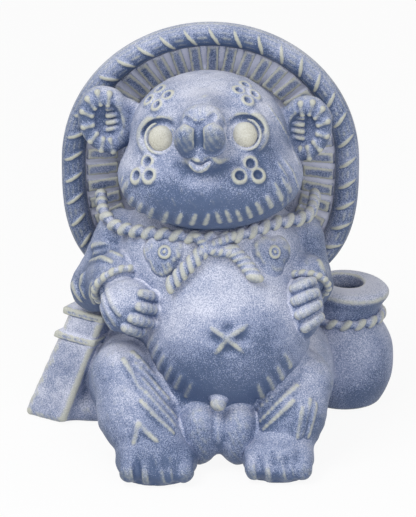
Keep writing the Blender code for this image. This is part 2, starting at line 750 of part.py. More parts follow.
def flask_hollow():
    """The inside of the flask, open at its mouth."""
    wall = FLASK_WALL
    inside = [(radius - wall, z) for radius, z in flask_outline()[5:9]]
    profile = [(0.0, FLASK_HEIGHT + wall), (FLASK_MOUTH_RADIUS, FLASK_HEIGHT + wall),
               (FLASK_MOUTH_RADIUS, FLASK_RIM_Z - wall), *inside,
               (FLASK_FOOT_RADIUS - wall, wall * 1.3), (0.0, wall * 1.3)]
    form = turned("flask_hollow", profile, 16)
    form.data.transform(Matrix.Translation(FLASK_FOOT_CENTRE))
    return form


def flask_cord_form():
    """The cord tied round the flask's neck, a ring of lays."""
    points = []
    radii = []
    for step in range(2 * FLASK_CORD_LAYS):
        angle = math.pi * step / FLASK_CORD_LAYS
        ring = FLASK_NECK_RADIUS + FLASK_CORD_RADIUS * 0.45
        flat = Vector((ring * math.cos(angle), ring * math.sin(angle), FLASK_NECK_Z))
        points.append(Vector(FLASK_FOOT_CENTRE) + flat)
        radii.append(FLASK_CORD_RADIUS * (1.0 if step % 2 else 0.72))
    return coil("flask_cord_form", points, radii, closed=True)


def build():
    blue = glaze("blue_glaze", *BLUE_GLAZE)
    cream = glaze("cream_glaze", *CREAM_GLAZE)

    body = body_form()
    body_seat = clearance(body)
    body_walled = clearance(body, SEAT_GAP + FLASK_WALL)
    body = combine(body, navel_cutter(body), "DIFFERENCE")
    piece("body", body, blue, [body_inside()])

    face = head_form()
    head = helper("head_hollowed", face.data.copy())
    for name, place in (("socket_right", EYE_RIGHT_AT), ("socket_left", EYE_LEFT_AT)):
        head = combine(head, socket_cutter(name, face, place), "DIFFERENCE")
    piece("head", head, blue, [body_seat])
    head_seat = clearance(head)
    for name, place in (("eye_right", EYE_RIGHT_AT), ("eye_left", EYE_LEFT_AT)):
        piece(name, eye_form(name + "_form", head, place), cream, [head_seat])
    nose = nose_form(face)
    piece("nose", nose, blue, [head_seat])
    piece("lower_lip", lip_form(face), blue, [head_seat, clearance(nose)])

    core = [body_seat, head_seat]
    rim = rim_form()
    rim_seat = clearance(rim)
    piece("hat_rim", rim, blue, core)
    hat = hat_form()
    piece("hat_crown", hat, blue, [*core, rim_seat])
    hat_seats = [clearance(hat), rim_seat]
    for name, centre, side in (("ear_right", EAR_RIGHT_CENTRE, -1), ("ear_left", EAR_LEFT_CENTRE, 1)):
        piece(name, ear_form(name + "_form", centre, side), blue, [head_seat, *hat_seats])

    collar = collar_form(body)
    piece("collar_rope", collar, blue, [*core, *hat_seats])
    collar_seat = clearance(collar)
    knot = knot_form(body)
    piece("rope_knot", knot, blue, [*core, collar_seat])
    knot_seat = clearance(knot)
    rope_seats = [knot_seat, collar_seat]
    for name, places in (("rope_end_right", ROPE_END_RIGHT), ("rope_end_left", ROPE_END_LEFT)):
        end = rope_end_form(name + "_form", body, places)
        piece(name, end, blue, [body_seat, *rope_seats])
        rope_seats.append(clearance(end))
    for name, place in (("breast_patch_right", PATCH_RIGHT_AT), ("breast_patch_left", PATCH_LEFT_AT)):
        piece(name, patch_form(name + "_form", body, place), blue, [*core, *rope_seats])

    arm_seats = {}
    leg_seats = {}
    limbs = (("right", -1, ARM_RIGHT, (PAW_RIGHT_CENTRE, PAW_RIGHT_SIZE), LEG_RIGHT,
              (FOOT_RIGHT_CENTRE, FOOT_RIGHT_SIZE)),
             ("left", 1, ARM_LEFT, (PAW_LEFT_CENTRE, PAW_LEFT_SIZE), LEG_LEFT,
              (FOOT_LEFT_CENTRE, FOOT_LEFT_SIZE)))
    for side, sign, arm_path, paw_place, leg_path, foot_place in limbs:
        arm = pressed("arm_form_" + side, rolled(arm_path), LIMB_VOXEL, LIMB_FACETS)
        piece("arm_" + side, arm, blue, [*core, *hat_seats, collar_seat])
        cuff = cuff_form("cuff_form_" + side, arm_path, paw_place[0])
        paw = paw_form("paw_form_" + side, *paw_place, sign)
        arm_seat = clearance(arm)
        paw_seat = clearance(paw)
        piece("paw_" + side, paw, blue, [*core, arm_seat])
        piece("cuff_" + side, cuff, blue, [*core, arm_seat, paw_seat, *rope_seats, *hat_seats],
              solver="MANIFOLD")
        arm_seats[side] = [arm_seat, paw_seat, clearance(cuff)]
        leg = pressed("leg_form_" + side, rolled(leg_path), LIMB_VOXEL, LIMB_FACETS * 1.3)
        leg_seat = clearance(leg)
        foot = foot_form("foot_form_" + side, *foot_place)
        piece("leg_" + side, leg, blue, [body_seat, paw_seat])
        piece("foot_" + side, foot, blue, [body_seat, leg_seat])
        leg_seats[side] = [leg_seat, clearance(foot)]

    bag = bag_form()
    piece("money_bag", bag, blue, [body_seat, *leg_seats["right"], *leg_seats["left"]])
    piece("bag_bud", bud_form(body), blue, [body_seat, clearance(bag)])
    piece("tail", pressed("tail_form", rolled(TAIL), LIMB_VOXEL, LIMB_FACETS), blue, [body_seat])

    beside_right = [body_seat, *leg_seats["right"], *arm_seats["right"], *hat_seats]
    ledger = ledger_form()
    piece("ledger", ledger, blue, beside_right)
    for name, z in (("ledger_band_top", BAND_TOP_Z), ("ledger_band_low", BAND_LOW_Z)):
        piece(name, band_form(name + "_form", z), blue, [*beside_right, clearance(ledger)])

    beside_left = [body_seat, *leg_seats["left"], *arm_seats["left"], *hat_seats]
    flask = flask_form()
    hollow = combine(flask_hollow(), body_walled, "DIFFERENCE")
    piece("flask", flask, blue, [*beside_left, hollow])
    piece("flask_cord", flask_cord_form(), blue, [*beside_left, clearance(flask)])


def centre_on_footprint():
    """Moves the whole figure so that the origin lies under the middle of its outline."""
    bpy.context.view_layer.update()
    graph = bpy.context.evaluated_depsgraph_get()
    corners = [Vector(corner) for part in PARTS.objects if part.type == "MESH"
               for corner in part.evaluated_get(graph).bound_box]
    for axis in (0, 1):
        spread = [corner[axis] for corner in corners]
        ROOT.location[axis] = -(min(spread) + max(spread)) / 2


PARTS, CUTTERS, ROOT = start_scene("tanuki_figurine")
FLOOR = floor_block()
BALL = unit_ball()
PLANNED = []
build()
make_pieces()
centre_on_footprint()
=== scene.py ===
import math

import bpy
import numpy as np
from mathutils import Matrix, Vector


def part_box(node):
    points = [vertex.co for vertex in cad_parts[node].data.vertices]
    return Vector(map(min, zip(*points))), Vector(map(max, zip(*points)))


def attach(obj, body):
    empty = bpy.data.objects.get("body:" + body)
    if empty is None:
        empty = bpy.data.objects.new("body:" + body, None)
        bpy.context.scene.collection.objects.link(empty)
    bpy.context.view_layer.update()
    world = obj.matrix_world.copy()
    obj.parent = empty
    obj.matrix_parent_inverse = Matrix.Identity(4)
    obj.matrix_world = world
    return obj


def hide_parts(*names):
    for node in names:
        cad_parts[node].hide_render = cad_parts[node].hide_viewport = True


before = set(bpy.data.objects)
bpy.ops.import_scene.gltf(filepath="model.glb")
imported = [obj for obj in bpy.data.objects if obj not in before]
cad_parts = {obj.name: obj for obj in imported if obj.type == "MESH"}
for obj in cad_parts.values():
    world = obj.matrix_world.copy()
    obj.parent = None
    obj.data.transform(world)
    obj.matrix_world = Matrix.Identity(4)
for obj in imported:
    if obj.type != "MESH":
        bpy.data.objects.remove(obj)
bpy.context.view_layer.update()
mm = 0.001
sides = ("right", "left")              # the figure's own, so right lies towards -X
sideSign = {"right": -1, "left": 1}
floorGap = 0.05                        # clay ends this far above the floor

# Forms are worked out in millimetres round the figure's own middle and moved onto the frame.
flaskPlace = (66.2, 45.0)
flaskLow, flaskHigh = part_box("flask")
figureShift = np.array([(flaskLow[i] + flaskHigh[i]) / 2 / mm - flaskPlace[i] for i in (0, 1)] + [0.0])

# How the picture was taken: pixels per millimetre, and where the figure's middle and feet lie in it.
photo = {"scale": 2.05, "middle": 210.5, "foot": 488.3, "footUp": -27.0, "tilt": math.radians(22)}
sight = np.array([0.0, math.cos(photo["tilt"]), -math.sin(photo["tilt"])])
upward = np.array([0.0, math.sin(photo["tilt"]), math.cos(photo["tilt"])])
tiltTurn = [[1.0, 0.0, 0.0], sight.tolist(), upward.tolist()]
walk = {"start": 160.0, "steps": 70, "share": 0.85, "longest": 12.0, "settle": 8, "pull": 8.0}


def seen(px, py):
    return (px - photo["middle"]) / photo["scale"], (photo["foot"] - py) / photo["scale"] + photo["footUp"]


def evenTurns(count):
    return [2 * math.pi * i / count for i in range(count)]


def turnTo(direction):
    return np.array(Vector(direction).to_track_quat("Z", "Y").to_matrix()).tolist()


def circleAround(axis, count):
    u = np.cross(axis, [0.0, 0.0, 1.0])
    u = u / np.linalg.norm(u)
    v = np.cross(axis, u)
    return [math.cos(t) * u + math.sin(t) * v for t in evenTurns(count)]


# Clay forms are distances from a surface: balls, rods and one leaning slab.
def smoothMin(a, b, k):
    h = np.maximum(k - np.abs(a - b), 0.0) / k
    return np.minimum(a, b) - h * h * k * 0.25


def ball(centre, radii, turn=None):
    return {"kind": "ball", "centre": np.array(centre, float), "radii": np.array(radii, float), "turn": turn}


def rod(start, end, r0, r1):
    return {"kind": "rod", "start": np.array(start, float), "end": np.array(end, float), "r0": r0, "r1": r1}


def rods(stations):
    return [rod(a, b, ra, rb) for (a, ra), (b, rb) in zip(stations, stations[1:])]


def ballDistance(x, y, z, lump):
    dx, dy, dz = x - lump["centre"][0], y - lump["centre"][1], z - lump["centre"][2]
    if lump["turn"] is not None:
        t = lump["turn"]
        dx, dy, dz = (t[0][i] * dx + t[1][i] * dy + t[2][i] * dz for i in range(3))
    rx, ry, rz = lump["radii"]
    k0 = np.sqrt((dx / rx) ** 2 + (dy / ry) ** 2 + (dz / rz) ** 2)
    k1 = np.sqrt((dx / rx ** 2) ** 2 + (dy / ry ** 2) ** 2 + (dz / rz ** 2) ** 2)
    return k0 * (k0 - 1.0) / np.maximum(k1, 1e-6)


def rodDistance(x, y, z, lump):
    a = lump["start"]
    ab = lump["end"] - a
    dx, dy, dz = x - a[0], y - a[1], z - a[2]
    h = np.clip((dx * ab[0] + dy * ab[1] + dz * ab[2]) / max(ab @ ab, 1e-9), 0.0, 1.0)
    dist = np.sqrt((dx - h * ab[0]) ** 2 + (dy - h * ab[1]) ** 2 + (dz - h * ab[2]) ** 2)
    return dist - (lump["r0"] + (lump["r1"] - lump["r0"]) * h)


def slabDistance(x, y, z, lump):
    share = np.clip(z / lump["topZ"], -0.2, 1.0)
    cx = lump["foot"][0] + (lump["top"][0] - lump["foot"][0]) * share
    cy = lump["foot"][1] + (lump["top"][1] - lump["foot"][1]) * share
    c, s = math.cos(lump["turn"]), math.sin(lump["turn"])
    u = (x - cx) * c + (y - cy) * s
    v = (y - cy) * c - (x - cx) * s
    r = lump["round"]
    wide = lump["footSize"][0] + (lump["topSize"][0] - lump["footSize"][0]) * share
    deep = lump["footSize"][1] + (lump["topSize"][1] - lump["footSize"][1]) * share
    qu = np.abs(u) - wide / 2 - lump["proud"] + r
    qv = np.abs(v) - deep / 2 - lump["proud"] + r
    qz = np.abs(z - (lump["low"] + lump["high"]) / 2) - (lump["high"] - lump["low"]) / 2 + r
    out = np.sqrt(np.maximum(qu, 0) ** 2 + np.maximum(qv, 0) ** 2 + np.maximum(qz, 0) ** 2)
    return out + np.minimum(np.maximum(np.maximum(qu, qv), qz), 0) - r


distances = {"ball": ballDistance, "rod": rodDistance, "slab": slabDistance}


def formDistance(x, y, z, form):
    d = None
    for lump in form["lumps"]:
        one = distances[lump["kind"]](x, y, z, lump)
        d = one if d is None else smoothMin(d, one, form["blend"])
    return d


def lumpBox(lump):
    if lump["kind"] == "ball":
        reach = lump["radii"] if lump["turn"] is None else np.full(3, lump["radii"].max())
        return lump["centre"] - reach, lump["centre"] + reach
    if lump["kind"] == "rod":
        reach = max(lump["r0"], lump["r1"])
        ends = np.array([lump["start"], lump["end"]])
        return ends.min(0) - reach, ends.max(0) + reach
    ends = np.array([[*lump["foot"], lump["low"]], [*lump["top"], lump["high"]]])
    reach = np.array([max(lump["footSize"]), max(lump["footSize"]), 0.0])
    return ends.min(0) - reach, ends.max(0) + reach


def formBox(form):
    boxes = [lumpBox(lump) for lump in form["lumps"]]
    return np.min([b[0] for b in boxes], 0), np.max([b[1] for b in boxes], 0)


# A line of sight walks up to the form, then settles on its surface.
def castOn(form, spots):
    spots = np.array(spots, float)
    p = spots[:, :1] * np.array([1.0, 0.0, 0.0]) + spots[:, 1:] * upward - walk["start"] * sight
    best, nearest = p, np.full(len(p), 1e9)
    for _ in range(walk["steps"]):
        d = formDistance(*p.T, form)
        best = np.where((d < nearest)[:, None], p, best)
        nearest = np.minimum(nearest, d)
        p = p + sight * np.clip(d * walk["share"], 0.0, walk["longest"])[:, None]
    p = best
    for _ in range(walk["settle"]):
        d = formDistance(*p.T, form)
        p = p - slopeOf(p, form) * np.clip(d, -walk["pull"], walk["pull"])[:, None]
    return p, slopeOf(p, form)


def slopeOf(p, form, reach=0.4):
    n = np.zeros_like(p)
    for axis, step in enumerate(np.eye(3) * reach):
        n[:, axis] = formDistance(*(p + step).T, form) - formDistance(*(p - step).T, form)
    return n / np.maximum(np.linalg.norm(n, axis=1, keepdims=True), 1e-9)


def densePixels(path, count):
    path = np.array(path, float)
    knots = range(len(path))
    at = np.linspace(0, len(path) - 1, count)
    return list(zip(np.interp(at, knots, path[:, 0]), np.interp(at, knots, path[:, 1])))


def onPhoto(form, pixels):
    return castOn(form, [seen(*pixel) for pixel in pixels])


# A block holds samples of a form. Stamps are pressed into it, and a skin is drawn round it.
def makeBlock(low, high, step):
    axes = [np.arange(low[i] - 4 * step, high[i] + 5 * step, step, dtype=np.float32) for i in range(3)]
    return {"axes": axes, "step": step, "d": None}


def grid(block):
    x, y, z = block["axes"]
    return x[:, None, None], y[None, :, None], z[None, None, :]


def window(block, low, high):
    parts = []
    for axis, values in enumerate(block["axes"]):
        first = int(np.searchsorted(values, low[axis]))
        last = int(np.searchsorted(values, high[axis]))
        parts.append(slice(first, last))
    x, y, z = (values[part] for values, part in zip(block["axes"], parts))
    return tuple(parts), (x[:, None, None], y[None, :, None], z[None, None, :])


def stamp(block, lump, blend, carve=False):
    low, high = lumpBox(lump)
    part, (x, y, z) = window(block, low - blend - 1.0, high + blend + 1.0)
    if min(s.stop - s.start for s in part) < 1:
        return
    one = distances[lump["kind"]](x, y, z, lump)
    here = block["d"][part]
    block["d"][part] = -smoothMin(-here, one, blend) if carve else smoothMin(here, one, blend)


def stampRing(block, centre, normal, radius, tube, blend):
    steps = max(12, int(radius * 5))
    ring = [centre + radius * away for away in circleAround(normal, steps)]
    stampPath(block, ring + ring[:1], tube, tube, blend)


def stampPath(block, points, r0, r1, blend, carve=False):
    radii = np.linspace(r0, r1, len(points))
    for a, b, ra, rb in zip(points, points[1:], radii, radii[1:]):
        stamp(block, rod(a, b, ra, rb), blend, carve)


# A stroke follows pixels of the picture over the form, raised or sunk by lift.
def stroke(block, form, path, count, lift, r0, r1, blend=1.2, carve=False):
    points, normals = onPhoto(form, densePixels(path, count))
    stampPath(block, points + normals * lift, r0, r1, blend, carve)


def skin(block):
    d = block["d"]
    inside = d < 0
    n = np.array(d.shape) - 1
    offsets = np.array([(i, j, k) for i in (0, 1) for j in (0, 1) for k in (0, 1)])
    filled = np.zeros(n, np.int8)
    for i, j, k in offsets:
        filled += inside[i:i + n[0], j:j + n[1], k:k + n[2]]
    cells = np.argwhere((filled > 0) & (filled < 8))
    number = np.full(n, -1, np.int64)
    number[tuple(cells.T)] = np.arange(len(cells))
    value = np.stack([d[tuple((cells + o).T)] for o in offsets], 1).astype(np.float64)
    total = np.zeros((len(cells), 3))
    count = np.zeros(len(cells))
    for a in range(8):
        for b in range(a + 1, 8):
            if np.abs(offsets[a] - offsets[b]).sum() != 1:
                continue
            crosses = (value[:, a] < 0) != (value[:, b] < 0)
            share = value[crosses, a] / (value[crosses, a] - value[crosses, b])
            total[crosses] += offsets[a] + share[:, None] * (offsets[b] - offsets[a])
            count[crosses] += 1
    origin = np.array([axis[0] for axis in block["axes"]])
    points = origin + (cells + total / count[:, None]) * block["step"]
    faces = []
    for axis in range(3):
        u, v = (axis + 1) % 3, (axis + 2) % 3
        near = [slice(1, -1)] * 3
        far = [slice(1, -1)] * 3
        near[axis], far[axis] = slice(0, -1), slice(1, None)
        change = inside[tuple(near)].astype(np.int8) - inside[tuple(far)].astype(np.int8)
        for sign in (1, -1):
            at = np.argwhere(change == sign)
            at[:, u] += 1
            at[:, v] += 1
            around = []
            for du, dv in ((-1, -1), (0, -1), (0, 0), (-1, 0)):
                cell = at.copy()
                cell[:, u] += du
                cell[:, v] += dv
                around.append(number[tuple(cell.T)])
            faces.append(np.stack(around if sign > 0 else around[::-1], 1))
    return points, np.concatenate(faces).tolist()


def meshOf(name, points, faces):
    mesh = bpy.data.meshes.new(name)
    mesh.from_pydata(((points + figureShift) * mm).tolist(), [], faces)
    mesh.update()
    return mesh


def newPiece(name, mesh):
    piece = bpy.data.objects.new(name, mesh)
    bpy.context.scene.collection.objects.link(piece)
    return piece


def baked(piece):
    graph = bpy.context.evaluated_depsgraph_get()
    mesh = bpy.data.meshes.new_from_object(piece.evaluated_get(graph))
    piece.modifiers.clear()
    piece.data = mesh
    return piece


def addSoften(piece, rounds):
    soften = piece.modifiers.new("soften", "SMOOTH")
    soften.factor = 0.5
    soften.iterations = rounds


def softened(piece, rounds, voxel=None):
    if voxel:
        press = piece.modifiers.new("press", "REMESH")
        press.mode = "VOXEL"
        press.voxel_size = voxel * mm
    addSoften(piece, rounds)
    return baked(piece)


waver = {"height": 0.24, "length": 13.0, "small": 0.35}    # how far the thumbed clay swells and sinks


def thumbed(x, y, z):
    turn = 2 * math.pi / waver["length"]
    broad = (np.sin(turn * (x + 0.4 * z) + 1.3) * np.sin(turn * (y - 0.3 * x) + 0.5)
             * np.sin(turn * (z + 0.5 * y) + 2.1))
    small = np.sin(2.3 * turn * (x - 0.6 * y)) * np.sin(2.1 * turn * (z + 0.7 * x) + 0.9)
    return waver["height"] * (broad + waver["small"] * small)


forms = {}       # every piece's bare form, by its node's name
finished = {}    # every finished piece, by its node's name


def clayPiece(name, step, relief=None, carriers=(), fillet=2.4, sink=1.2, inside=None):
    form = forms[name]
    block = makeBlock(*formBox(form), step)
    x, y, z = grid(block)
    block["d"] = np.array(formDistance(x, y, z, form) + thumbed(x, y, z), np.float32)
    if relief:
        relief(block, form)
    d = block["d"]
    if carriers:
        held = formDistance(x, y, z, forms[carriers[0]])
        for carrier in carriers[1:]:
            held = np.minimum(held, formDistance(x, y, z, forms[carrier]))
        joined = np.maximum(smoothMin(d, held, fillet), d - 0.85 * fillet)    # slip along the seam
        d = np.maximum(joined, -(held + sink))
    if inside:
        d = np.maximum(d, -formDistance(x, y, z, inside))
    block["d"] = np.maximum(d, floorGap - z).astype(np.float32)
    piece = newPiece("clay_" + name, meshOf(name, *skin(block)))
    finished[name] = softened(piece, 2)
    print("clay piece", name, len(piece.data.polygons))


body = {"torso": ((0, -3, 84), (49, 39, 50)), "hip": ((0, 2, 28), (56, 47, 37)),
        "belly": ((9, -24, 65), (40, 36, 39)), "haunch": ((36, 16, 26), (25, 32, 30)),
        "wall": 6.5, "opening": ((0, 2, 0), (33, 28, 18)), "blend": 7.0}
navel = {"middle": (227, 338), "arms": ((211, 327), (246, 325), (216, 352), (243, 351)), "radius": 1.6,
         "lift": -0.5, "pits": ((228, 328), (215, 339), (240, 338), (228, 349)), "pit": 2.9, "pitOut": 1.2}
bellyFringe = {"right": ((150, 342), (154, 352), (160, 362), (168, 372), (177, 381), (187, 389)),
               "left": ((262, 390), (272, 382), (281, 372), (289, 360)),
               "lean": 5, "above": 7, "below": 5, "radius": 2.2, "lift": -0.6}


def bodyForm(wall=0.0):
    lumps = [ball(c, np.array(r) - wall) for c, r in (body["torso"], body["hip"], body["belly"])]
    (hx, hy, hz), size = body["haunch"]
    lumps += [ball((side * hx, hy, hz), np.array(size) - wall) for side in (-1, 1)]
    return {"lumps": lumps, "blend": body["blend"]}


def bodyRelief(block, form):
    points, normals = onPhoto(form, navel["pits"])
    for point, normal in zip(points, normals):
        stamp(block, ball(point + normal * navel["pitOut"], (navel["pit"],) * 3), 2.4, carve=True)
    for arm in navel["arms"]:
        stroke(block, form, (navel["middle"], arm), 5, navel["lift"], navel["radius"], navel["radius"] * 0.8)
    hair = bellyFringe
    for side in sides:
        lean = -sideSign[side] * hair["lean"]
        for px, py in hair[side]:
            strand = ((px + lean, py - hair["above"]), (px, py + hair["below"]))
            stroke(block, form, strand, 6, hair["lift"], hair["radius"] * 0.7, hair["radius"])


forms["body"] = bodyForm()
bodyInside = bodyForm(body["wall"])
bodyInside["lumps"].append(ball(*body["opening"]))

head = {"cranium": ((-1, -6, 159), (38, 37, 30.5)), "jaw": ((0, -14, 141.5), (45, 38, 24.5)),
        "muzzle": ((-3, -40, 168), (14.5, 15, 13.5)), "bridge": ((-3, -30, 178.5), (8.5, 15, 10)),
        "blend": 6.0}
eyes = {"right": (160.3, 139.5), "left": (245.2, 135.7), "radius": 6.3, "crown": 3.5, "sunk": 2.0,
        "forward": 0.55, "raise": 0.9, "socket": 9.6, "socketDepth": 2.0,
        "ring": 7.5, "ringTube": 0.7, "ringSunk": 1.0,
        "rim": 20.0, "rimUp": -2, "rimRadius": 1.0, "rimArc": {"right": (0.70, 1.36), "left": (-0.36, 0.30)},
        "lid": 16.5, "lidRadius": 0.9, "lidArc": {"right": (1.05, 1.70), "left": (1.22, 1.92)}}
brows = {"right": ((161, 91.9), (150.7, 102.3), (168.7, 97.8), (158.3, 107.4)),
         "left": ((238, 93), (244.4, 87.9), (253.2, 97.1), (246.5, 103)), "radius": 2.3, "tube": 1.1}
cheeks = {"right": ((149.3, 163.3), (138.4, 176.9), (150.7, 176.9)),
          "left": ((238.9, 177.2), (256.4, 176.4), (249, 165)), "radius": 2.9, "tube": 1.25}
fringe = {"right": ((127, 187), (132, 202), (141, 208), (152, 213), (166, 217), (180, 218), (194, 219),
                    (207, 219)),
          "left": ((218, 217), (228, 216), (238, 215), (248, 212), (258, 208), (268, 202), (278, 195),
                   (286, 187)),
          "lean": 2.0, "length": 8.5, "radius": 2.1, "lift": -0.95}
whiskers = {"left": (((268, 108), (281, 127), (291, 148)), ((276, 120), (288, 140), (298, 165)),
                     ((282, 160), (292, 173), (298, 190)), ((277, 164), (286, 178), (291, 196)),
                     ((281, 178), (285, 190), (287, 203)), ((274, 184), (279, 195), (282, 207))),
            "right": (((124, 178), (123, 187), (126, 197)), ((131, 180), (128, 190), (131, 200))),
            "radius": 0.85, "lift": -0.4}
smile = {"upper": ((190, 162), (194.5, 165.5), (200, 167), (205.5, 165.5), (210, 161.5)), "radius": 0.9,
         "lift": 0.5, "dot": (197.5, 161), "dotRadii": (1.5, 1.2, 1.2)}


def ringSpots(block, form, marks, side):
    points, normals = onPhoto(form, marks[side])
    for point, normal in zip(points, normals):
        stampRing(block, point - normal * 0.1, normal, marks["radius"], marks["tube"], 1.6)
        stamp(block, ball(point + normal * 1.1, (marks["radius"] * 0.75,) * 3), 1.2, carve=True)


def eyeArc(side, radius, arc, count, up=0.0):
    px, py = eyes[side]
    return [(px + radius * math.cos(t), py + up + radius * math.sin(t))
            for t in np.linspace(*arc, count) * math.pi]


def headRelief(block, form):
    for side in sides:
        point, look = eyeLook(side)
        reach = (eyes["socket"] ** 2 + eyes["socketDepth"] ** 2) / (2 * eyes["socketDepth"])
        hollow = point + look * (reach - eyes["socketDepth"]) + upward * eyes["raise"]
        stamp(block, ball(hollow, (reach,) * 3), 2.2, carve=True)
        stampRing(block, point - look * eyes["ringSunk"], look, eyes["ring"], eyes["ringTube"], 0.6)
        rim = eyeArc(side, eyes["rim"], eyes["rimArc"][side], 17, eyes["rimUp"])
        stroke(block, form, rim, 17, -0.7, eyes["rimRadius"], eyes["rimRadius"], 2.6)
        lid = eyeArc(side, eyes["lid"], eyes["lidArc"][side], 20)
        stroke(block, form, lid, 20, -0.8, eyes["lidRadius"], eyes["lidRadius"], 2.0, carve=True)
        ringSpots(block, form, brows, side)
        ringSpots(block, form, cheeks, side)
    for side in sides:
        lean, half = -sideSign[side] * fringe["lean"], fringe["length"] / 2
        for px, py in fringe[side]:
            strand = ((px + lean, py - half), (px - lean, py + half))
            stroke(block, form, strand, 6, fringe["lift"], fringe["radius"] * 0.8, fringe["radius"])
    for side in sides:
        for path in whiskers[side]:
            stroke(block, form, path, 10, whiskers["lift"], whiskers["radius"], whiskers["radius"] * 0.7)
    stroke(block, form, smile["upper"], 14, smile["lift"], smile["radius"], smile["radius"], carve=True)
    points, _ = onPhoto(form, [smile["dot"]])
    stamp(block, ball(points[0], smile["dotRadii"]), 1.0)


def eyeLook(side):
    points, normals = onPhoto(forms["head"], [eyes[side]])
    look = normals[0] * (1 - eyes["forward"]) - sight * eyes["forward"]
    return points[0], look / np.linalg.norm(look)


def eyeForm(side):
    point, look = eyeLook(side)
    radii = (eyes["radius"], eyes["radius"], eyes["crown"])
    return {"lumps": [ball(point - look * eyes["sunk"], radii, turnTo(look))], "blend": 1.0}


forms["head"] = {"lumps": [ball(*head[k]) for k in ("cranium", "jaw", "muzzle", "bridge")],
                 "blend": head["blend"]}

nose = {"lobes": ((187.5, 141), (212, 140)), "lobe": (6.8, 6.4, 8.8), "lobeSunk": 0.4,
        "bridge": (201, 120), "bridgeRadii": (11.0, 7.8, 9.6), "bridgeSunk": 3.8,
        "groove": ((199, 127), (199, 142), (199, 158)), "grooveRadius": 1.5,
        "wings": ((186, 121), (192, 126), (199, 128), (207, 124), (214, 118)), "wingsRadius": 1.2,
        "lift": 0.3, "blend": 4.0}


def noseForm():
    points, normals = onPhoto(forms["head"], nose["lobes"])
    lumps = [ball(p - n * nose["lobeSunk"], nose["lobe"], tiltTurn) for p, n in zip(points, normals)]
    points, normals = onPhoto(forms["head"], [nose["bridge"]])
    lumps.append(ball(points[0] - normals[0] * nose["bridgeSunk"], nose["bridgeRadii"], tiltTurn))
    return {"lumps": lumps, "blend": nose["blend"]}


def noseRelief(block, form):
    for line in ("groove", "wings"):
        radius = nose[line + "Radius"]
        stroke(block, form, nose[line], 12, nose["lift"], radius, radius, 1.4, carve=True)


forms["nose"] = noseForm()
for side in sides:
    forms["eye_" + side] = eyeForm(side)

lip = {"path": ((190.5, 165), (194.5, 168.4), (200, 170), (205.5, 168.4), (209.5, 164.5)),
       "end": 0.6, "middle": 1.5, "lift": 0.3}


def lipForm():
    points, normals = onPhoto(forms["head"], densePixels(lip["path"], 14))
    path = points + normals * lip["lift"]
    radii = lip["end"] + (lip["middle"] - lip["end"]) * np.sin(np.linspace(0, math.pi, len(path)))
    return {"lumps": rods(list(zip(path, radii))), "blend": 0.8}


forms["lower_lip"] = lipForm()

ears = {"right": ((-51.0, 8.0, 162.5), (12.5, 6.5, 16.5)), "left": ((45.8, 8.0, 157.8), (12.5, 6.5, 16.0)),
        "roll": 3.8, "rollY": -2.2, "lean": math.radians(14), "blend": 2.4,
        "hollow": (6.0, 5.6, 9.0), "hollowAt": (1.5, -7.0, 0.0),
        "tufts": 12, "tuftsPast": -4.0, "tuftFrom": (0.76, -6.0), "tuftTo": (1.24, -5.8),
        "tuftRadii": (1.4, 1.7)}
innerTufts = {"count": 4, "at": (1.0, -2.9, 5.6), "apart": 3.6, "reach": (5.5, -0.6, 1.2),
              "radii": (1.2, 1.4)}


def earRing(side, scale, y, count):
    (cx, cy, cz), radii = ears[side]
    lean = sideSign[side] * ears["lean"]
    c, s = math.cos(lean), math.sin(lean)
    ring = []
    for t in evenTurns(count):
        u = (radii[0] - ears["roll"]) * scale * math.cos(t)
        w = (radii[2] - ears["roll"]) * scale * math.sin(t)
        ring.append(np.array([cx + u * c + w * s, cy + y, cz + w * c - u * s]))
    return ring


def earForm(side):
    centre, (rx, ry, rz) = ears[side]
    ring = earRing(side, 1.0, ears["rollY"], 24)
    lumps = [ball(centre, (rx - 1.0, ry * 0.7, rz - 1.0))]
    lumps += [rod(a, b, ears["roll"], ears["roll"]) for a, b in zip(ring, ring[1:] + ring[:1])]
    root = np.array(centre) + np.array([-sideSign[side] * rx * 0.75, 0.0, -rz * 0.15])
    lumps.append(ball(root, (rx * 0.85, ry * 0.9, rz * 0.75)))
    return {"lumps": lumps, "blend": ears["blend"]}


def earRelief(side):
    centre = np.array(ears[side][0])
    inward = np.array([-sideSign[side], 1.0, 1.0])

    def relief(block, form):
        stamp(block, ball(centre + inward * ears["hollowAt"], ears["hollow"]), 2.0, carve=True)
        inner = earRing(side, *ears["tuftFrom"], ears["tufts"])
        outer = earRing(side, *ears["tuftTo"], ears["tufts"])
        for a, b in zip(inner, outer):
            if (a[0] - centre[0]) * sideSign[side] > ears["tuftsPast"]:
                stamp(block, rod(a, b, *ears["tuftRadii"]), 1.0)
        x, y, z = innerTufts["at"]
        for i in range(innerTufts["count"]):
            a = centre + inward * (x, y, z - innerTufts["apart"] * i)
            stamp(block, rod(a, a + inward * innerTufts["reach"], *innerTufts["radii"]), 0.9)
    return relief


for side in sides:
    forms["ear_" + side] = earForm(side)

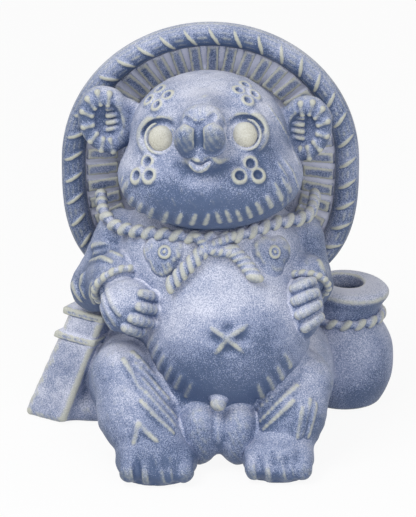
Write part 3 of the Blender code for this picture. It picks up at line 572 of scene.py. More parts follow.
limbs = {
    "arm_right": (((-43, 4, 102), 13.5), ((-55.6, 0.5, 77), 11.4), ((-46.5, -19, 90), 12.0)),
    "arm_left": (((42.5, 4, 101), 13.0), ((47.5, 0, 79), 11.2), ((46.5, -17, 89.5), 10.6)),
    "leg_right": (((-36, 10, 26), 22.0), ((-42.3, -27, 42.3), 14.6), ((-36.6, -38, 27), 17.7),
                  ((-28.5, -46, 14), 17.5)),
    "leg_left": (((34, 10, 24), 21.0), ((44, -27, 38), 14.5), ((38.5, -36, 26), 17.0),
                 ((34.5, -44, 13), 15.5)),
    "tail": (((10, 46, 20), 13.0), ((12, 58, 18), 14.5), ((10, 64, 32), 12.0), ((6, 66, 48), 7.0)),
    "blend": 5.0}
for name in ("arm_right", "arm_left", "leg_right", "leg_left", "tail"):
    forms[name] = {"lumps": rods(limbs[name]), "blend": limbs["blend"]}

paws = {"right": {"centre": (-40, -35, 81), "radii": (13, 12, 13.5), "knuckles":
                  ((141, 294), (139, 306), (132, 317), (126, 326)), "tips":
                  ((161, 299), (160, 311), (153, 323), (144, 333))},
        "left": {"centre": (45.2, -32, 79), "radii": (9.6, 12, 15.5), "knuckles":
                 ((311, 282), (314, 293), (316, 304), (318, 316)), "tips":
                 ((294, 289), (295, 301), (299, 314), (304, 327))},
        "finger": 2.5, "proud": 0.6, "blend": 0.8}


def pawForm(side):
    paw = paws[side]
    palm = {"lumps": [ball(paw["centre"], paw["radii"])], "blend": 1.0}
    lumps = list(palm["lumps"])
    for knuckle, tip in zip(paw["knuckles"], paw["tips"]):
        points, normals = onPhoto(palm, densePixels((knuckle, tip), 6))
        lumps += rods([(p, paws["finger"]) for p in points + normals * paws["proud"]])
    return {"lumps": lumps, "blend": paws["blend"]}


for side in sides:
    forms["paw_" + side] = pawForm(side)

feet = {"right": ((-26.2, -53.7, 8), (20, 19, 14)), "left": ((33, -51, 8), (17.5, 18, 14)),
        "toes": 4, "toe": 5.0, "blend": 1.8}


def footForm(side):
    (cx, cy, cz), (rx, ry, rz) = feet[side]
    lumps = [ball((cx, cy, cz), (rx, ry * 0.9, rz))]
    for i in range(feet["toes"]):
        share = (i - (feet["toes"] - 1) / 2) / feet["toes"]
        heel = np.array([cx + share * rx * 1.65, cy - ry * 0.25, cz + rz * 0.25])
        tip = heel + np.array([share * rx * 0.1, -ry * 0.55 + abs(share) * ry * 0.35, -rz * 0.35])
        lumps.append(rod(heel, tip, feet["toe"] * 1.1, feet["toe"]))
    return {"lumps": lumps, "blend": feet["blend"]}


for side in sides:
    forms["foot_" + side] = footForm(side)

furLines = {
    "leg_right": (((133, 353), (154, 376), (176, 398)), ((136, 364), (156, 386), (176, 407)),
                  ((139, 376), (157, 397), (175, 416)), ((143, 389), (158, 406), (174, 424)),
                  ((142, 401), (157, 417), (173, 432)), ((124, 360), (133, 374), (140, 388)),
                  ((139, 424), (148, 432), (158, 441)), ((139, 424), (137, 434), (134, 444))),
    "leg_left": (((302, 356), (283, 376), (262, 398)), ((297, 372), (278, 390), (259, 408)),
                 ((296, 386), (279, 402), (261, 420)), ((292, 401), (279, 413), (264, 428)),
                 ((309, 400), (305, 418), (300, 436)), ((302, 408), (299, 424), (296, 438)),
                 ((314, 404), (311, 420), (307, 436))),
    "arm_right": (((94, 246), (104, 244), (118, 250)), ((96, 254), (108, 251), (122, 257)),
                  ((92, 262), (102, 258), (112, 262)), ((74, 284), (77, 292), (82, 300)),
                  ((84, 276), (82, 286), (86, 297)), ((94, 284), (92, 294), (95, 303)),
                  ((103, 292), (106, 304), (112, 316))),
    "arm_left": (((318, 262), (322, 272), (323, 284)),),
    "paw_right": (((108, 288), (112, 302), (120, 314)), ((104, 296), (108, 310), (116, 324)),
                  ((103, 306), (107, 318), (114, 330))),
    "radius": 1.9, "lift": -0.5}


def furRelief(name):
    def relief(block, form):
        for path in furLines.get(name, ()):
            stroke(block, form, path, 10, furLines["lift"], furLines["radius"], furLines["radius"] * 0.7)
    return relief


toeLines = {"right": (((136, 458), (138, 470), (140, 481)), ((150, 455), (152, 468), (153, 482)),
                      ((164, 456), (167, 468), (169, 480))),
            "left": (((258, 456), (259, 468), (262, 480)), ((271, 453), (273, 466), (275, 480)),
                     ((285, 455), (288, 467), (290, 478))),
            "radii": (0.9, 1.3), "lift": 0.6}


def footRelief(side):
    def relief(block, form):
        for path in toeLines[side]:
            stroke(block, form, path, 8, toeLines["lift"], *toeLines["radii"], 1.8, carve=True)
    return relief


bag = {"centre": (4, -43, 18), "lobe": (10.75, 12.2, 16.2), "apart": 19.0, "blend": 5.0,
       "bud": (218.5, 399), "budRadius": 4.2, "budOut": 1.6}
bagSeam = {"path": ((218, 409), (218, 424), (218, 440)), "radius": 1.7, "lift": -1.1}
bagX, bagY, bagZ = bag["centre"]
bagLobes = [ball((bagX + s * bag["apart"] / 2, bagY, bagZ), bag["lobe"]) for s in (-1, 1)]
forms["money_bag"] = {"lumps": bagLobes, "blend": bag["blend"]}
budAt, budNormal = onPhoto(forms["body"], [bag["bud"]])
forms["bag_bud"] = {"lumps": [ball(budAt[0] + budNormal[0] * bag["budOut"], (bag["budRadius"],) * 3)],
                    "blend": 1.0}


def bagRelief(block, form):
    stroke(block, form, bagSeam["path"], 10, bagSeam["lift"], bagSeam["radius"], bagSeam["radius"], 2.0)


patches = {"right": (163, 254), "left": (272, 254), "radius": 10.0, "cornerAt": 0.40, "cornerSize": 0.66,
           "thickness": 2.4, "blend": 2.0, "ringAt": (2, -2), "ring": 2.6, "ringTube": 0.7, "dot": 1.2}


def patchForm(side):
    px, py = patches[side]
    reach = patches["radius"] * patches["cornerAt"] * photo["scale"]
    corners = [(px + reach * math.cos(t), py + reach * math.sin(t))
               for t in (math.radians(90 + 120 * i) for i in range(3))]
    points, normals = onPhoto(forms["body"], corners)
    size = patches["radius"] * patches["cornerSize"]
    lumps = [ball(p, (size, size, patches["thickness"]), turnTo(n)) for p, n in zip(points, normals)]
    return {"lumps": lumps, "blend": patches["blend"]}


def patchRelief(side):
    def relief(block, form):
        (px, py), (dx, dy) = patches[side], patches["ringAt"]
        points, normals = onPhoto(form, [(px + dx, py + dy)])
        stampRing(block, points[0], normals[0], patches["ring"], patches["ringTube"], 0.8)
        stamp(block, ball(points[0], (patches["dot"],) * 3), 0.8)
    return relief


for side in sides:
    forms["breast_patch_" + side] = patchForm(side)

ledger = {"kind": "slab", "foot": (-75.3, 26.9), "top": (-56.7, 8.7), "topZ": 60.0, "footSize": (24.5, 27),
          "topSize": (21, 18), "turn": math.radians(-35), "round": 4.4, "proud": 0.0,
          "low": -0.6, "high": 64.6}
ledgerRoot = {"path": ((-66, 21, 7), (-49, 18, 8)), "radius": 9.5, "blend": 4.0}
ledgerEdge = {"from": 3.5, "to": 60.0, "inset": 1.5, "radius": 1.9}
ledgerBands = {"ledger_band_top": 61.6, "ledger_band_low": 48.0}
bandShape = {"half": 1.9, "proud": 1.5, "round": 1.2}
forms["ledger"] = {"lumps": [ledger, rod(*ledgerRoot["path"], ledgerRoot["radius"], ledgerRoot["radius"])],
                   "blend": ledgerRoot["blend"]}
for name, middle in ledgerBands.items():
    band = {**ledger, "low": middle - bandShape["half"], "high": middle + bandShape["half"],
            "proud": bandShape["proud"], "round": bandShape["round"]}
    forms[name] = {"lumps": [band], "blend": 1.0}


def ledgerRelief(block, form):
    points = []
    for z in (ledgerEdge["from"], ledgerEdge["to"]):
        share = z / ledger["topZ"]
        middle, size = [np.array(ledger[a]) * (1 - share) + np.array(ledger[b]) * share
                        for a, b in (("foot", "top"), ("footSize", "topSize"))]
        u, v = size / 2 - ledgerEdge["inset"]
        c, s = math.cos(ledger["turn"]), math.sin(ledger["turn"])
        points.append((middle[0] + u * c + v * s, middle[1] + u * s - v * c, z))
    stampPath(block, np.array(points), ledgerEdge["radius"], ledgerEdge["radius"], 2.0)


def makeClayPieces():
    clayPiece("body", 1.13, bodyRelief, inside=bodyInside)
    clayPiece("head", 0.62, headRelief, ("body",))
    clayPiece("nose", 0.42, noseRelief, ("head",), fillet=1.6)
    clayPiece("lower_lip", 0.35, None, ("head",), fillet=0.8, sink=0.8)
    for side in sides:
        clayPiece("eye_" + side, 0.35)
        clayPiece("ear_" + side, 0.5, earRelief(side), ("head",))
        clayPiece("arm_" + side, 0.6, furRelief("arm_" + side), ("body",))
        clayPiece("paw_" + side, 0.5, furRelief("paw_" + side), ("body", "arm_" + side), fillet=2.0)
        clayPiece("leg_" + side, 0.6, furRelief("leg_" + side), ("body",), fillet=3.0)
        clayPiece("foot_" + side, 0.55, footRelief(side), ("leg_" + side,), fillet=2.6)
        clayPiece("breast_patch_" + side, 0.45, patchRelief(side), ("body",), fillet=1.4)
    clayPiece("money_bag", 0.55, bagRelief, ("body", "leg_right", "leg_left"), fillet=2.0)
    clayPiece("bag_bud", 0.4, None, ("body", "money_bag"), fillet=1.6)
    clayPiece("tail", 0.6, None, ("body",), fillet=4.0)
    clayPiece("ledger", 0.55, ledgerRelief, ("body", "leg_right"))
    for name in ledgerBands:
        clayPiece(name, 0.4, None, ("ledger", "body"), fillet=1.2)


def addNode(tree, kind, values=None, **settings):
    made = tree.nodes.new(kind)
    for key, value in settings.items():
        setattr(made, key, value)
    for title, value in (values or {}).items():
        made.inputs[title].default_value = value
    return made


# Pads laid along a path: the lays of ropes, the ribs of the hat and the pads of its brim.
padInputs = {"Path": "Geometry", "Count": "Int", "Pad Size": "Vector", "Slant": "Float", "Lift": "Float",
             "Core Radius": "Float", "Square": "Bool", "Finish": "Material"}


def padsTree():
    tree = bpy.data.node_groups.new("padsAlong", "GeometryNodeTree")
    for title, kind in padInputs.items():
        tree.interface.new_socket(title, in_out="INPUT", socket_type="NodeSocket" + kind)
    tree.interface.new_socket("Mesh", in_out="OUTPUT", socket_type="NodeSocketGeometry")
    given = addNode(tree, "NodeGroupInput")
    result = addNode(tree, "NodeGroupOutput")
    path = addNode(tree, "GeometryNodeMeshToCurve")
    even = addNode(tree, "GeometryNodeResampleCurve", mode="COUNT")
    spots = addNode(tree, "GeometryNodeCurveToPoints", mode="EVALUATED")
    outward = addNode(tree, "GeometryNodeInputNamedAttribute", {"Name": "outward"}, data_type="FLOAT_VECTOR")
    along = addNode(tree, "FunctionNodeAlignRotationToVector", axis="X")
    facing = addNode(tree, "FunctionNodeAlignRotationToVector", axis="Z", pivot_axis="X")
    lean = addNode(tree, "FunctionNodeAxisAngleToRotation", {"Axis": (0, 0, 1)})
    slanted = addNode(tree, "FunctionNodeRotateRotation", rotation_space="LOCAL")
    raised = addNode(tree, "ShaderNodeVectorMath", operation="SCALE")
    lifted = addNode(tree, "GeometryNodeSetPosition")
    roundPad = addNode(tree, "GeometryNodeMeshUVSphere", {"Segments": 14, "Rings": 9})
    squarePad = addNode(tree, "GeometryNodeMeshCube", {"Size": (2, 2, 2)})
    shape = addNode(tree, "GeometryNodeSwitch", input_type="GEOMETRY")
    pads = addNode(tree, "GeometryNodeInstanceOnPoints")
    section = addNode(tree, "GeometryNodeCurvePrimitiveCircle", {"Resolution": 14})
    core = addNode(tree, "GeometryNodeCurveToMesh", {"Fill Caps": True})
    both = addNode(tree, "GeometryNodeJoinGeometry")
    real = addNode(tree, "GeometryNodeRealizeInstances")
    finish = addNode(tree, "GeometryNodeSetMaterial")
    for source, out, target, into in (
            (given, "Path", path, "Mesh"), (path, "Curve", even, "Curve"), (given, "Count", even, "Count"),
            (even, "Curve", spots, "Curve"), (spots, "Tangent", along, "Vector"),
            (along, "Rotation", facing, "Rotation"), (outward, "Attribute", facing, "Vector"),
            (given, "Slant", lean, "Angle"), (facing, "Rotation", slanted, "Rotation"),
            (lean, "Rotation", slanted, "Rotate By"), (outward, "Attribute", raised, 0),
            (given, "Lift", raised, "Scale"), (spots, "Points", lifted, "Geometry"),
            (raised, 0, lifted, "Offset"), (given, "Square", shape, "Switch"),
            (roundPad, "Mesh", shape, "False"), (squarePad, "Mesh", shape, "True"),
            (lifted, "Geometry", pads, "Points"), (shape, 0, pads, "Instance"),
            (slanted, "Rotation", pads, "Rotation"), (given, "Pad Size", pads, "Scale"),
            (given, "Core Radius", section, "Radius"), (path, "Curve", core, "Curve"),
            (section, "Curve", core, "Profile Curve"), (pads, "Instances", both, "Geometry"),
            (core, "Mesh", both, "Geometry"), (both, "Geometry", real, "Geometry"),
            (real, "Geometry", finish, "Geometry"), (given, "Finish", finish, "Material"),
            (finish, "Geometry", result, "Mesh")):
        tree.links.new(source.outputs[out], target.inputs[into])
    return tree


def padsAlong(name, points, outwards, closed, sizes):
    mesh = bpy.data.meshes.new(name)
    count = len(points)
    edges = [(i, (i + 1) % count) for i in range(count if closed else count - 1)]
    mesh.from_pydata(((np.array(points) + figureShift) * mm).tolist(), edges, [])
    mark = mesh.attributes.new("outward", "FLOAT_VECTOR", "POINT")
    mark.data.foreach_set("vector", np.array(outwards, np.float32).ravel())
    piece = newPiece(name, mesh)
    pads = piece.modifiers.new("pads", "NODES")
    pads.node_group = padTree
    values = {"Count": sizes["count"], "Pad Size": [v * mm for v in sizes["pad"]],
              "Slant": sizes.get("slant", 0.0), "Lift": sizes.get("lift", 0.0) * mm,
              "Core Radius": sizes.get("core", 0.05) * mm, "Square": sizes.get("square", False),
              "Finish": blueGlaze}
    for item in padTree.interface.items_tree:
        if item.in_out == "INPUT" and item.name in values:
            pads[item.identifier] = values[item.name]
    piece.update_tag()
    return baked(piece)


def evenPath(points, count):
    knots = np.array(points, float)
    knots = np.vstack([2 * knots[0] - knots[1], knots, 2 * knots[-1] - knots[-2]])
    dense = []
    for a, b, c, d in zip(knots, knots[1:], knots[2:], knots[3:]):
        for t in np.linspace(0, 1, 24, endpoint=False):
            dense.append(0.5 * (2 * b + (c - a) * t + (2 * a - 5 * b + 4 * c - d) * t * t
                                + (3 * b - a - 3 * c + d) * t ** 3))
    dense = np.array(dense + [knots[-2]])
    runs = np.concatenate([[0.0], np.cumsum(np.linalg.norm(np.diff(dense, axis=0), axis=1))])
    even = np.linspace(0, runs[-1], count)
    return np.stack([np.interp(even, runs, dense[:, i]) for i in range(3)], 1)


ropeVoxel = 0.42
collar = {"rightEnd": ((-53, 19, 118), (-51.5, 0, 116), (-45, -11, 113)),
          "breast": ((-33, 97.5), (-20, 96.2), (-6, 94.8), (8, 94.5), (19, 97.5), (32, 102)),
          "leftEnd": ((43, -10, 116.5), (48.5, 0, 116.5), (50.5, 19, 117)),
          "endsOut": ((-0.7, -0.7, 0.2), (-0.6, -0.8, 0.2), (-0.4, -0.9, 0.1)),
          "count": 23, "pad": (4.6, 2.7, 3.0), "slant": 0.75, "lift": 0.7, "core": 2.3, "laid": 1.61}
ropeEnds = {"right": ((-3, 89), (-10, 81.5), (-18, 72.5)), "left": ((9, 89.5), (15.5, 82.5), (20.5, 74.5)),
            "count": 6, "pad": (4.8, 2.5, 3.0), "slant": 0.85, "lift": 0.8, "core": 2.4, "laid": 2.4}
knot = {"at": (3, 91.5), "radii": (7, 5, 6),
        "loops": (((-6, 95), (0, 89), (8, 88)), ((10, 95), (3, 92), (-4, 88))),
        "count": 6, "pad": (3.0, 2.3, 2.6), "slant": 0.7, "lift": 0.6, "core": 2.8, "laid": 3.4}


def ropePiece(name, points, outwards, sizes):
    path = evenPath(points, 60)
    out = evenPath(outwards, 60)
    out /= np.linalg.norm(out, axis=1, keepdims=True)
    piece = padsAlong("clay_" + name, path, out, False, sizes)
    finished[name] = softened(piece, 2, ropeVoxel)
    forms[name] = {"lumps": rods([(p, sizes["core"] + 0.5) for p in path[::4]]), "blend": 0.5}
    print("rope piece", name, len(piece.data.polygons))


def makeRopes():
    breast, out = castOn(forms["body"], collar["breast"])
    points = [*collar["rightEnd"], *(breast + out * collar["laid"]), *collar["leftEnd"]]
    outwards = [*collar["endsOut"], *out, *((-x, y, z) for x, y, z in collar["endsOut"][::-1])]
    ropePiece("collar_rope", points, outwards, collar)
    for side in sides:
        points, out = castOn(forms["body"], ropeEnds[side])
        ropePiece("rope_end_" + side, points + out * ropeEnds["laid"], out, ropeEnds)
    loops = []
    for loop in knot["loops"]:
        points, out = castOn(forms["body"], loop)
        path = evenPath(points + out * knot["laid"], 30)
        loops.append(padsAlong("clay_rope_knot", path, evenPath(out, 30), False, knot))
    joinInto(loops[0], loops[1:])
    finished["rope_knot"] = softened(loops[0], 3, ropeVoxel)
    at, _ = castOn(forms["body"], [knot["at"]])
    forms["rope_knot"] = {"lumps": [ball(at[0], knot["radii"])], "blend": 1.0}


def joinInto(piece, others):
    meshes = [piece.data] + [other.data for other in others]
    points, faces, start = [], [], 0
    for mesh in meshes:
        points += [tuple(v.co) for v in mesh.vertices]
        faces += [tuple(start + i for i in f.vertices) for f in mesh.polygons]
        start += len(mesh.vertices)
    mesh = bpy.data.meshes.new(piece.name)
    mesh.from_pydata(points, [], faces)
    piece.data = mesh
    for other in others:
        bpy.data.objects.remove(other)


cuffs = {"count": 17, "pad": (2.6, 1.8, 2.2), "slant": 0.5, "lift": 0.3, "core": 1.8, "along": 0.3,
         "reach": 2.6}


def makeCuffs():
    for side in sides:
        wrist, radius = limbs["arm_" + side][-1]
        wrist = np.array(wrist, float)
        axis = np.array(paws[side]["centre"]) - wrist
        middle = wrist + axis * cuffs["along"]
        out = circleAround(axis / np.linalg.norm(axis), 48)
        points = [middle + o * radius for o in out]
        piece = padsAlong("clay_cuff_" + side, points, out, True, cuffs)
        finished["cuff_" + side] = softened(piece, 2, ropeVoxel)
        stations = [(p, cuffs["reach"]) for p in points[::4] + points[:1]]
        forms["cuff_" + side] = {"lumps": rods(stations), "blend": 0.5}
    print("cuffs")


# The brim is round above and squared below. Depth runs from its front to the crown.
hat = {"radius": 73.0, "centre": (0, 32, 131.5), "tilt": math.radians(3), "cone": 14.0, "wall": 6.5,
       "square": 3.0, "rim": 6.2, "axis": 0.3, "segments": 160, "voxel": 0.74, "rimVoxel": 0.55}
hatRibs = {"count": 42, "at": 53.0, "pad": (2.75, 7.6, 1.7), "square": True, "lift": 0.7}
hatInnerRibs = {"count": 30, "at": 34.5, "pad": (2.5, 7.4, 1.2), "square": True, "lift": 0.4}
rimPads = {"count": 38, "pad": (2.6, 6.9, 6.9), "slant": 0.65, "core": 6.0}


def onHat(x, y, depth):
    reach = math.hypot(x, y)
    if y < 0 and reach > 0:
        power = hat["square"]
        share = (abs(x / reach) ** power + abs(y / reach) ** power) ** (-1 / power)
        x, y = x * share, y * share
    c, s = math.cos(hat["tilt"]), math.sin(hat["tilt"])
    return np.array([hat["centre"][0] + x, hat["centre"][1] + depth * c - y * s,
                     hat["centre"][2] + y * c + depth * s])


def hatProfile():
    edge = hat["radius"] - hat["rim"]
    crown, cone, wall = edge * 0.22, hat["cone"], hat["wall"]
    outer = [(0.0, cone + wall), (crown, cone * 0.95 + wall), (edge * 0.6, cone * 0.58 + wall), (edge, wall)]
    inner = [(edge, 0.0), (edge * 0.58, cone * 0.45), (crown, cone - wall * 0.4), (0.0, cone - wall * 0.2)]
    return outer, inner


def innerDepth(r):
    radii, depths = zip(*hatProfile()[1][::-1])
    return float(np.interp(r, radii, depths))


def ringOnHat(radius, depth, count):
    return [onHat(radius * math.cos(t), radius * math.sin(t), depth) for t in evenTurns(count)]


def turnedMesh(name, profile, segments, place):
    turns = evenTurns(segments)
    points = [place(r * math.cos(t), r * math.sin(t), z) for r, z in profile for t in turns]
    last = (len(profile) - 1) * segments
    faces = []
    for row in range(0, last, segments):
        for i in range(segments):
            j = (i + 1) % segments
            faces.append((row + i, row + j, row + segments + j, row + segments + i))
    faces.append(tuple(range(segments))[::-1])
    faces.append(tuple(range(last, last + segments)))
    return meshOf(name, np.array(points), faces)


def makeHat():
    outer, inner = hatProfile()
    corners = outer + inner
    outline = []
    for a, b in zip(corners, corners[1:]):
        steps = max(1, int(math.dist(a, b) / 3))
        outline += [(a[0] + (b[0] - a[0]) * i / steps, a[1] + (b[1] - a[1]) * i / steps)
                    for i in range(steps)]
    outline.append(inner[-1])
    outline[0] = (hat["axis"], outline[0][1])
    outline[-1] = (hat["axis"], outline[-1][1])
    shell = newPiece("clay_hat_crown", turnedMesh("hat", outline, hat["segments"], onHat))
    front = np.array([0.0, -1.0, 0.0])
    extra = []
    for ribs in (hatRibs, hatInnerRibs):
        at = ribs["at"]
        ring = ringOnHat(at, innerDepth(at), 120)
        slope = (innerDepth(at - 4) - innerDepth(at + 4)) / 8
        out = []
        for p in ring:
            ray = np.array([p[0], 0.0, p[2] - hat["centre"][2]])
            ray /= np.linalg.norm(ray)
            out.append((front - ray * slope) / math.hypot(1, slope))
        extra.append(padsAlong("ribs", ring, out, True, ribs))
        back = ringOnHat(at, innerDepth(at) + hat["wall"] * 1.06, 120)
        extra.append(padsAlong("backRibs", back, [-o for o in out], True, ribs))
    joinInto(shell, extra)
    finished["hat_crown"] = softened(shell, 1, hat["voxel"])
    ring = ringOnHat(hat["radius"] - hat["rim"], 0.0, 180)
    rim = padsAlong("clay_hat_rim", ring, [front] * len(ring), True, rimPads)
    finished["hat_rim"] = softened(rim, 2, hat["rimVoxel"])
    forms["hat_rim"] = {"lumps": rods([(p, hat["rim"]) for p in ring[::6] + ring[:1]]), "blend": 0.5}
    print("hat", len(shell.data.polygons), len(rim.data.polygons))


flask = {"height": 61.0, "rimZ": 57.4, "rimRadius": 19.4, "neckZ": 47.0, "neck": 16.4, "bellyZ": 21.5,
         "belly": 23.9, "foot": 17.0, "footZ": 0.06, "mouth": 9.0, "axis": 0.3, "segments": 120, "voxel": 0.6}
flaskLean = {"from": 42.0, "to": 58.0, "lean": 0.08, "rise": 1.2, "lipShift": (2.4, -2.0), "lipReach": 7.0}
flaskCord = {"count": 16, "pad": (4.1, 2.3, 2.3), "slant": 0.6, "lift": 0.6, "core": 1.9,
             "out": 1.0, "down": 1.8}


def onFlask(x, y, z):
    bend = np.clip((z - flaskLean["from"]) / (flaskLean["to"] - flaskLean["from"]), 0, 1)
    bend = bend * bend * (3 - 2 * bend)
    lip = bend * np.clip((math.hypot(x, y) - flask["mouth"]) / flaskLean["lipReach"], 0, 1)
    shiftX, shiftY = flaskLean["lipShift"]
    return np.array([flaskPlace[0] + x + shiftX * lip, flaskPlace[1] + y + shiftY * lip,
                     z + bend * (flaskLean["rise"] - flaskLean["lean"] * x)])


def makeFlask():
    f = flask
    outside = [(f["mouth"] + 0.6, f["height"] - 0.1), (12.6, f["height"]), (16.2, f["height"] - 0.4),
               (18.5, f["height"] - 2.0), (f["rimRadius"], f["rimZ"]), (18.6, 55.0), (17.2, 52.2),
               (f["neck"], f["neckZ"]), (17.6, 41.8), (20.8, 36.0), (23.3, 29.5), (f["belly"], f["bellyZ"]),
               (23.2, 13.5), (20.8, 6.5), (18.2, 1.6), (f["foot"], f["footZ"])]
    inside = [(f["axis"], 5.9), (12.0, 6.3), (17.0, 12.5), (19.3, 21.0), (18.2, 31.0), (14.0, 44.0),
              (11.0, 50.5), (f["mouth"], 54.5), (f["mouth"] - 0.1, 58.0), (f["mouth"], 60.2)]
    wall = evenPath([(r, 0, z) for r, z in outside], 90)
    hollow = evenPath([(r, 0, z) for r, z in inside], 60)
    profile = [(max(r, f["axis"]), z) for r, _, z in hollow] + [(r, z) for r, _, z in wall]
    profile.append((f["axis"], f["footZ"]))
    piece = newPiece("clay_flask", turnedMesh("flask", profile[::-1], f["segments"], onFlask))
    finished["flask"] = softened(piece, 2, f["voxel"])
    forms["flask"] = {"lumps": [ball((*flaskPlace, f["bellyZ"]), (f["belly"], f["belly"], 24)),
                                rod((*flaskPlace, 30), (*flaskPlace, 41), 18.5, 18.5)], "blend": 6.0}
    out = [np.array([math.cos(t), math.sin(t), 0.0]) for t in evenTurns(72)]
    reach, level = f["neck"] + flaskCord["out"], f["neckZ"] - flaskCord["down"]
    cord = padsAlong("clay_flask_cord", [onFlask(*(o[:2] * reach), level) for o in out], out, True, flaskCord)
    finished["flask_cord"] = softened(cord, 2, ropeVoxel)
    print("flask", len(piece.data.polygons))


def pointValues(mesh, title):
    values = np.empty(len(mesh.vertices) * 3, np.float32)
    mesh.vertices.foreach_get(title, values)
    return values.reshape(-1, 3)


# How far each point stands out from a smoothed copy of its piece.
def ridgeMarks(piece, reach):
    mesh = piece.data
    spacing = math.sqrt(sum(face.area for face in mesh.polygons) / len(mesh.vertices)) / mm
    here, normal = pointValues(mesh, "co"), pointValues(mesh, "normal")
    ghost = newPiece("ghost", mesh.copy())
    addSoften(ghost, int(np.clip(reach ** 2 / (0.2 * spacing ** 2), 3, 150)))
    graph = bpy.context.evaluated_depsgraph_get()
    smooth = pointValues(ghost.evaluated_get(graph).data, "co")
    bpy.data.objects.remove(ghost)
    return here / mm - figureShift, ((here - smooth) * normal).sum(1) / mm


# Paler above 0 and darker below, for a whole piece or round a pixel of the picture. Some spots are painted
# light and painted shade, as noted by them.
tones = {"nose": -0.5, "hat_crown": 0.25, "hat_rim": -0.35, "flask": -0.05, "ledger": 1.1, "tail": -0.2,
         "ear_right": -0.7, "ear_left": -0.7, "arm_right": -0.9, "arm_left": -0.9, "leg_right": -0.35,
         "leg_left": -0.5, "foot_right": -1.6, "foot_left": -0.9, "money_bag": -0.65,
         "breast_patch_right": -0.4, "breast_patch_left": -0.6}
toneAndShadeSpots = {
    # On the head, the spots at (156, 121) and (244, 117) are painted shade under the brows.
    "head": (((200, 197), 26, -1.6), ((160, 196), 22, -0.7), ((240, 196), 24, -0.8), ((270, 166), 18, -1.9),
             ((192, 183), 7, 1.2), ((208, 183), 7, 1.2), ((200, 164), 10, 0.6), ((156, 121), 8, -1.4),
             ((244, 117), 9, -1.4), ((226, 104), 9, -1.2), ((176, 108), 8, -0.8), ((165, 165), 14, 0.3),
             ((170, 190), 14, -0.3), ((160, 138), 12, 0.3), ((245, 134), 13, 0.3), ((130, 150), 13, 1.0)),
    # On the body, the spots at (222, 290) and (172, 325) are painted light on the belly's upper face, and the
    # spot at (225, 375) is painted shade on its underside.
    "body": (((225, 375), 40, -1.1), ((222, 290), 34, 0.6), ((172, 325), 18, 0.7), ((270, 330), 20, -0.3)),
    # On the nose, the spot at (201, 112) is a painted highlight on its top.
    "nose": (((187, 143), 9, -1.5), ((213, 143), 9, -1.5), ((201, 112), 12, 0.7)),
    # On the right leg, the spot at (125, 345) is painted light on the knee top, where the paw shades it.
    "leg_right": (((125, 345), 14, 0.7), ((160, 425), 20, -0.4)),
    "leg_left": (((275, 425), 20, -0.4),),
    "hat_rim": (((205, 28), 45, -0.7),),
    # On the flask, the spot is painted light on the rim, which the hat and body shade.
    "flask": (((355, 288), 22, 1.5),)}    # pixel, radius in pixels, amount
hollows = {"hat_crown": -3.4}    # the glaze is pale between the hat's ribs, and other hollows are darkened as painted shade
ridges = {"ledger": 1.5, "ledger_band_top": 2.2, "ledger_band_low": 2.2, "hat_crown": 1.5, "hat_rim": 1.4,
          "ear_right": 0.9, "ear_left": 0.9, "paw_right": 0.65, "paw_left": 0.65, "foot_right": 0.5,
          "foot_left": 0.5, "breast_patch_right": 1.7, "breast_patch_left": 1.7}
wearAndShade = {"fine": 1.0, "fineRise": 0.20, "broad": 2.4, "broadFrom": 0.2, "broadRise": 1.1,
        "hollowDepth": 0.45, "hollowMost": 1.5, "poolReach": 2.2, "poolHides": 0.9, "search": 5}


def paintMarks(name, piece):
    places, rise = ridgeMarks(piece, wearAndShade["fine"])
    _, broad = ridgeMarks(piece, wearAndShade["broad"])
    near = np.full(len(places), 99.0)
    for other, form in forms.items():
        if other == name:
            continue
        low, high = formBox(form)
        close = np.all((places > low - wearAndShade["search"]) & (places < high + wearAndShade["search"]), axis=1)
        if close.any():
            near[close] = np.minimum(near[close], formDistance(*places[close].T, form))
    tone = np.full(len(places), tones.get(name, 0.0))
    # each spot adds tone, and several add painted light and painted shade
    for spot, radius, amount in toneAndShadeSpots.get(name, ()):
        at, _ = onPhoto(forms[name], [spot])
        tone += amount * np.exp(-((places - at[0]) ** 2).sum(1) / (2 * (radius / photo["scale"]) ** 2))
    pool = np.clip(1.0 - near / wearAndShade["poolReach"], 0, 1)
    ridge = rise / wearAndShade["fineRise"] + np.maximum(broad - wearAndShade["broadFrom"], 0) / wearAndShade["broadRise"]
    # hollow is painted shade: it darkens the glaze in broad hollows
    hollow = np.clip(-broad / wearAndShade["hollowDepth"], 0, wearAndShade["hollowMost"])
    marks = {"ridge": ridge * (1.0 - wearAndShade["poolHides"] * pool) * ridges.get(name, 1.0),
             "hollow": hollow * hollows.get(name, 1.0), "pool": pool, "tone": tone}
    for title, values in marks.items():
        mark = piece.data.attributes.new(title, "FLOAT", "POINT")
        mark.data.foreach_set("value", values.astype(np.float32))


glaze = {"cloud": 55.0, "grain": 1700.0, "fine": 2600.0, "worn": 700.0,
         "paintedLightFromAboveShare": 0.80, "toneAndShadeShare": 0.42, "cloudShare": 1.5, "grainShare": 2.5, "poolShare": 0.30,
         "hollowShadeShare": 0.30, "middleRamp": (-0.55, 0.15), "paleRamp": (0.05, 1.25),
         "speckLevel": 0.10, "speckRamp": (0.60, 0.72), "speckShare": 0.65,
         "wornSpread": 0.8, "wornRamp": (0.20, 1.7), "wornShare": 0.72,
         "rough": 0.40, "roughGrain": 0.22, "fineHeight": 0.6, "bump": 0.25, "bumpDepth": 0.0004,
         "specular": 0.4}
glazeColours = {"blueGlaze": {"Dark": (0.066, 0.104, 0.205), "Middle": (0.23, 0.28, 0.44),
                              "Pale": (0.70, 0.72, 0.84), "Edge": (0.62, 0.62, 0.49)},
                "creamGlaze": {"Dark": (0.34, 0.33, 0.27), "Middle": (0.52, 0.51, 0.44),
                               "Pale": (0.66, 0.66, 0.60), "Edge": (0.60, 0.59, 0.50)}}
glazeMarks = ("Ridge", "Hollow", "Pool", "Tone")


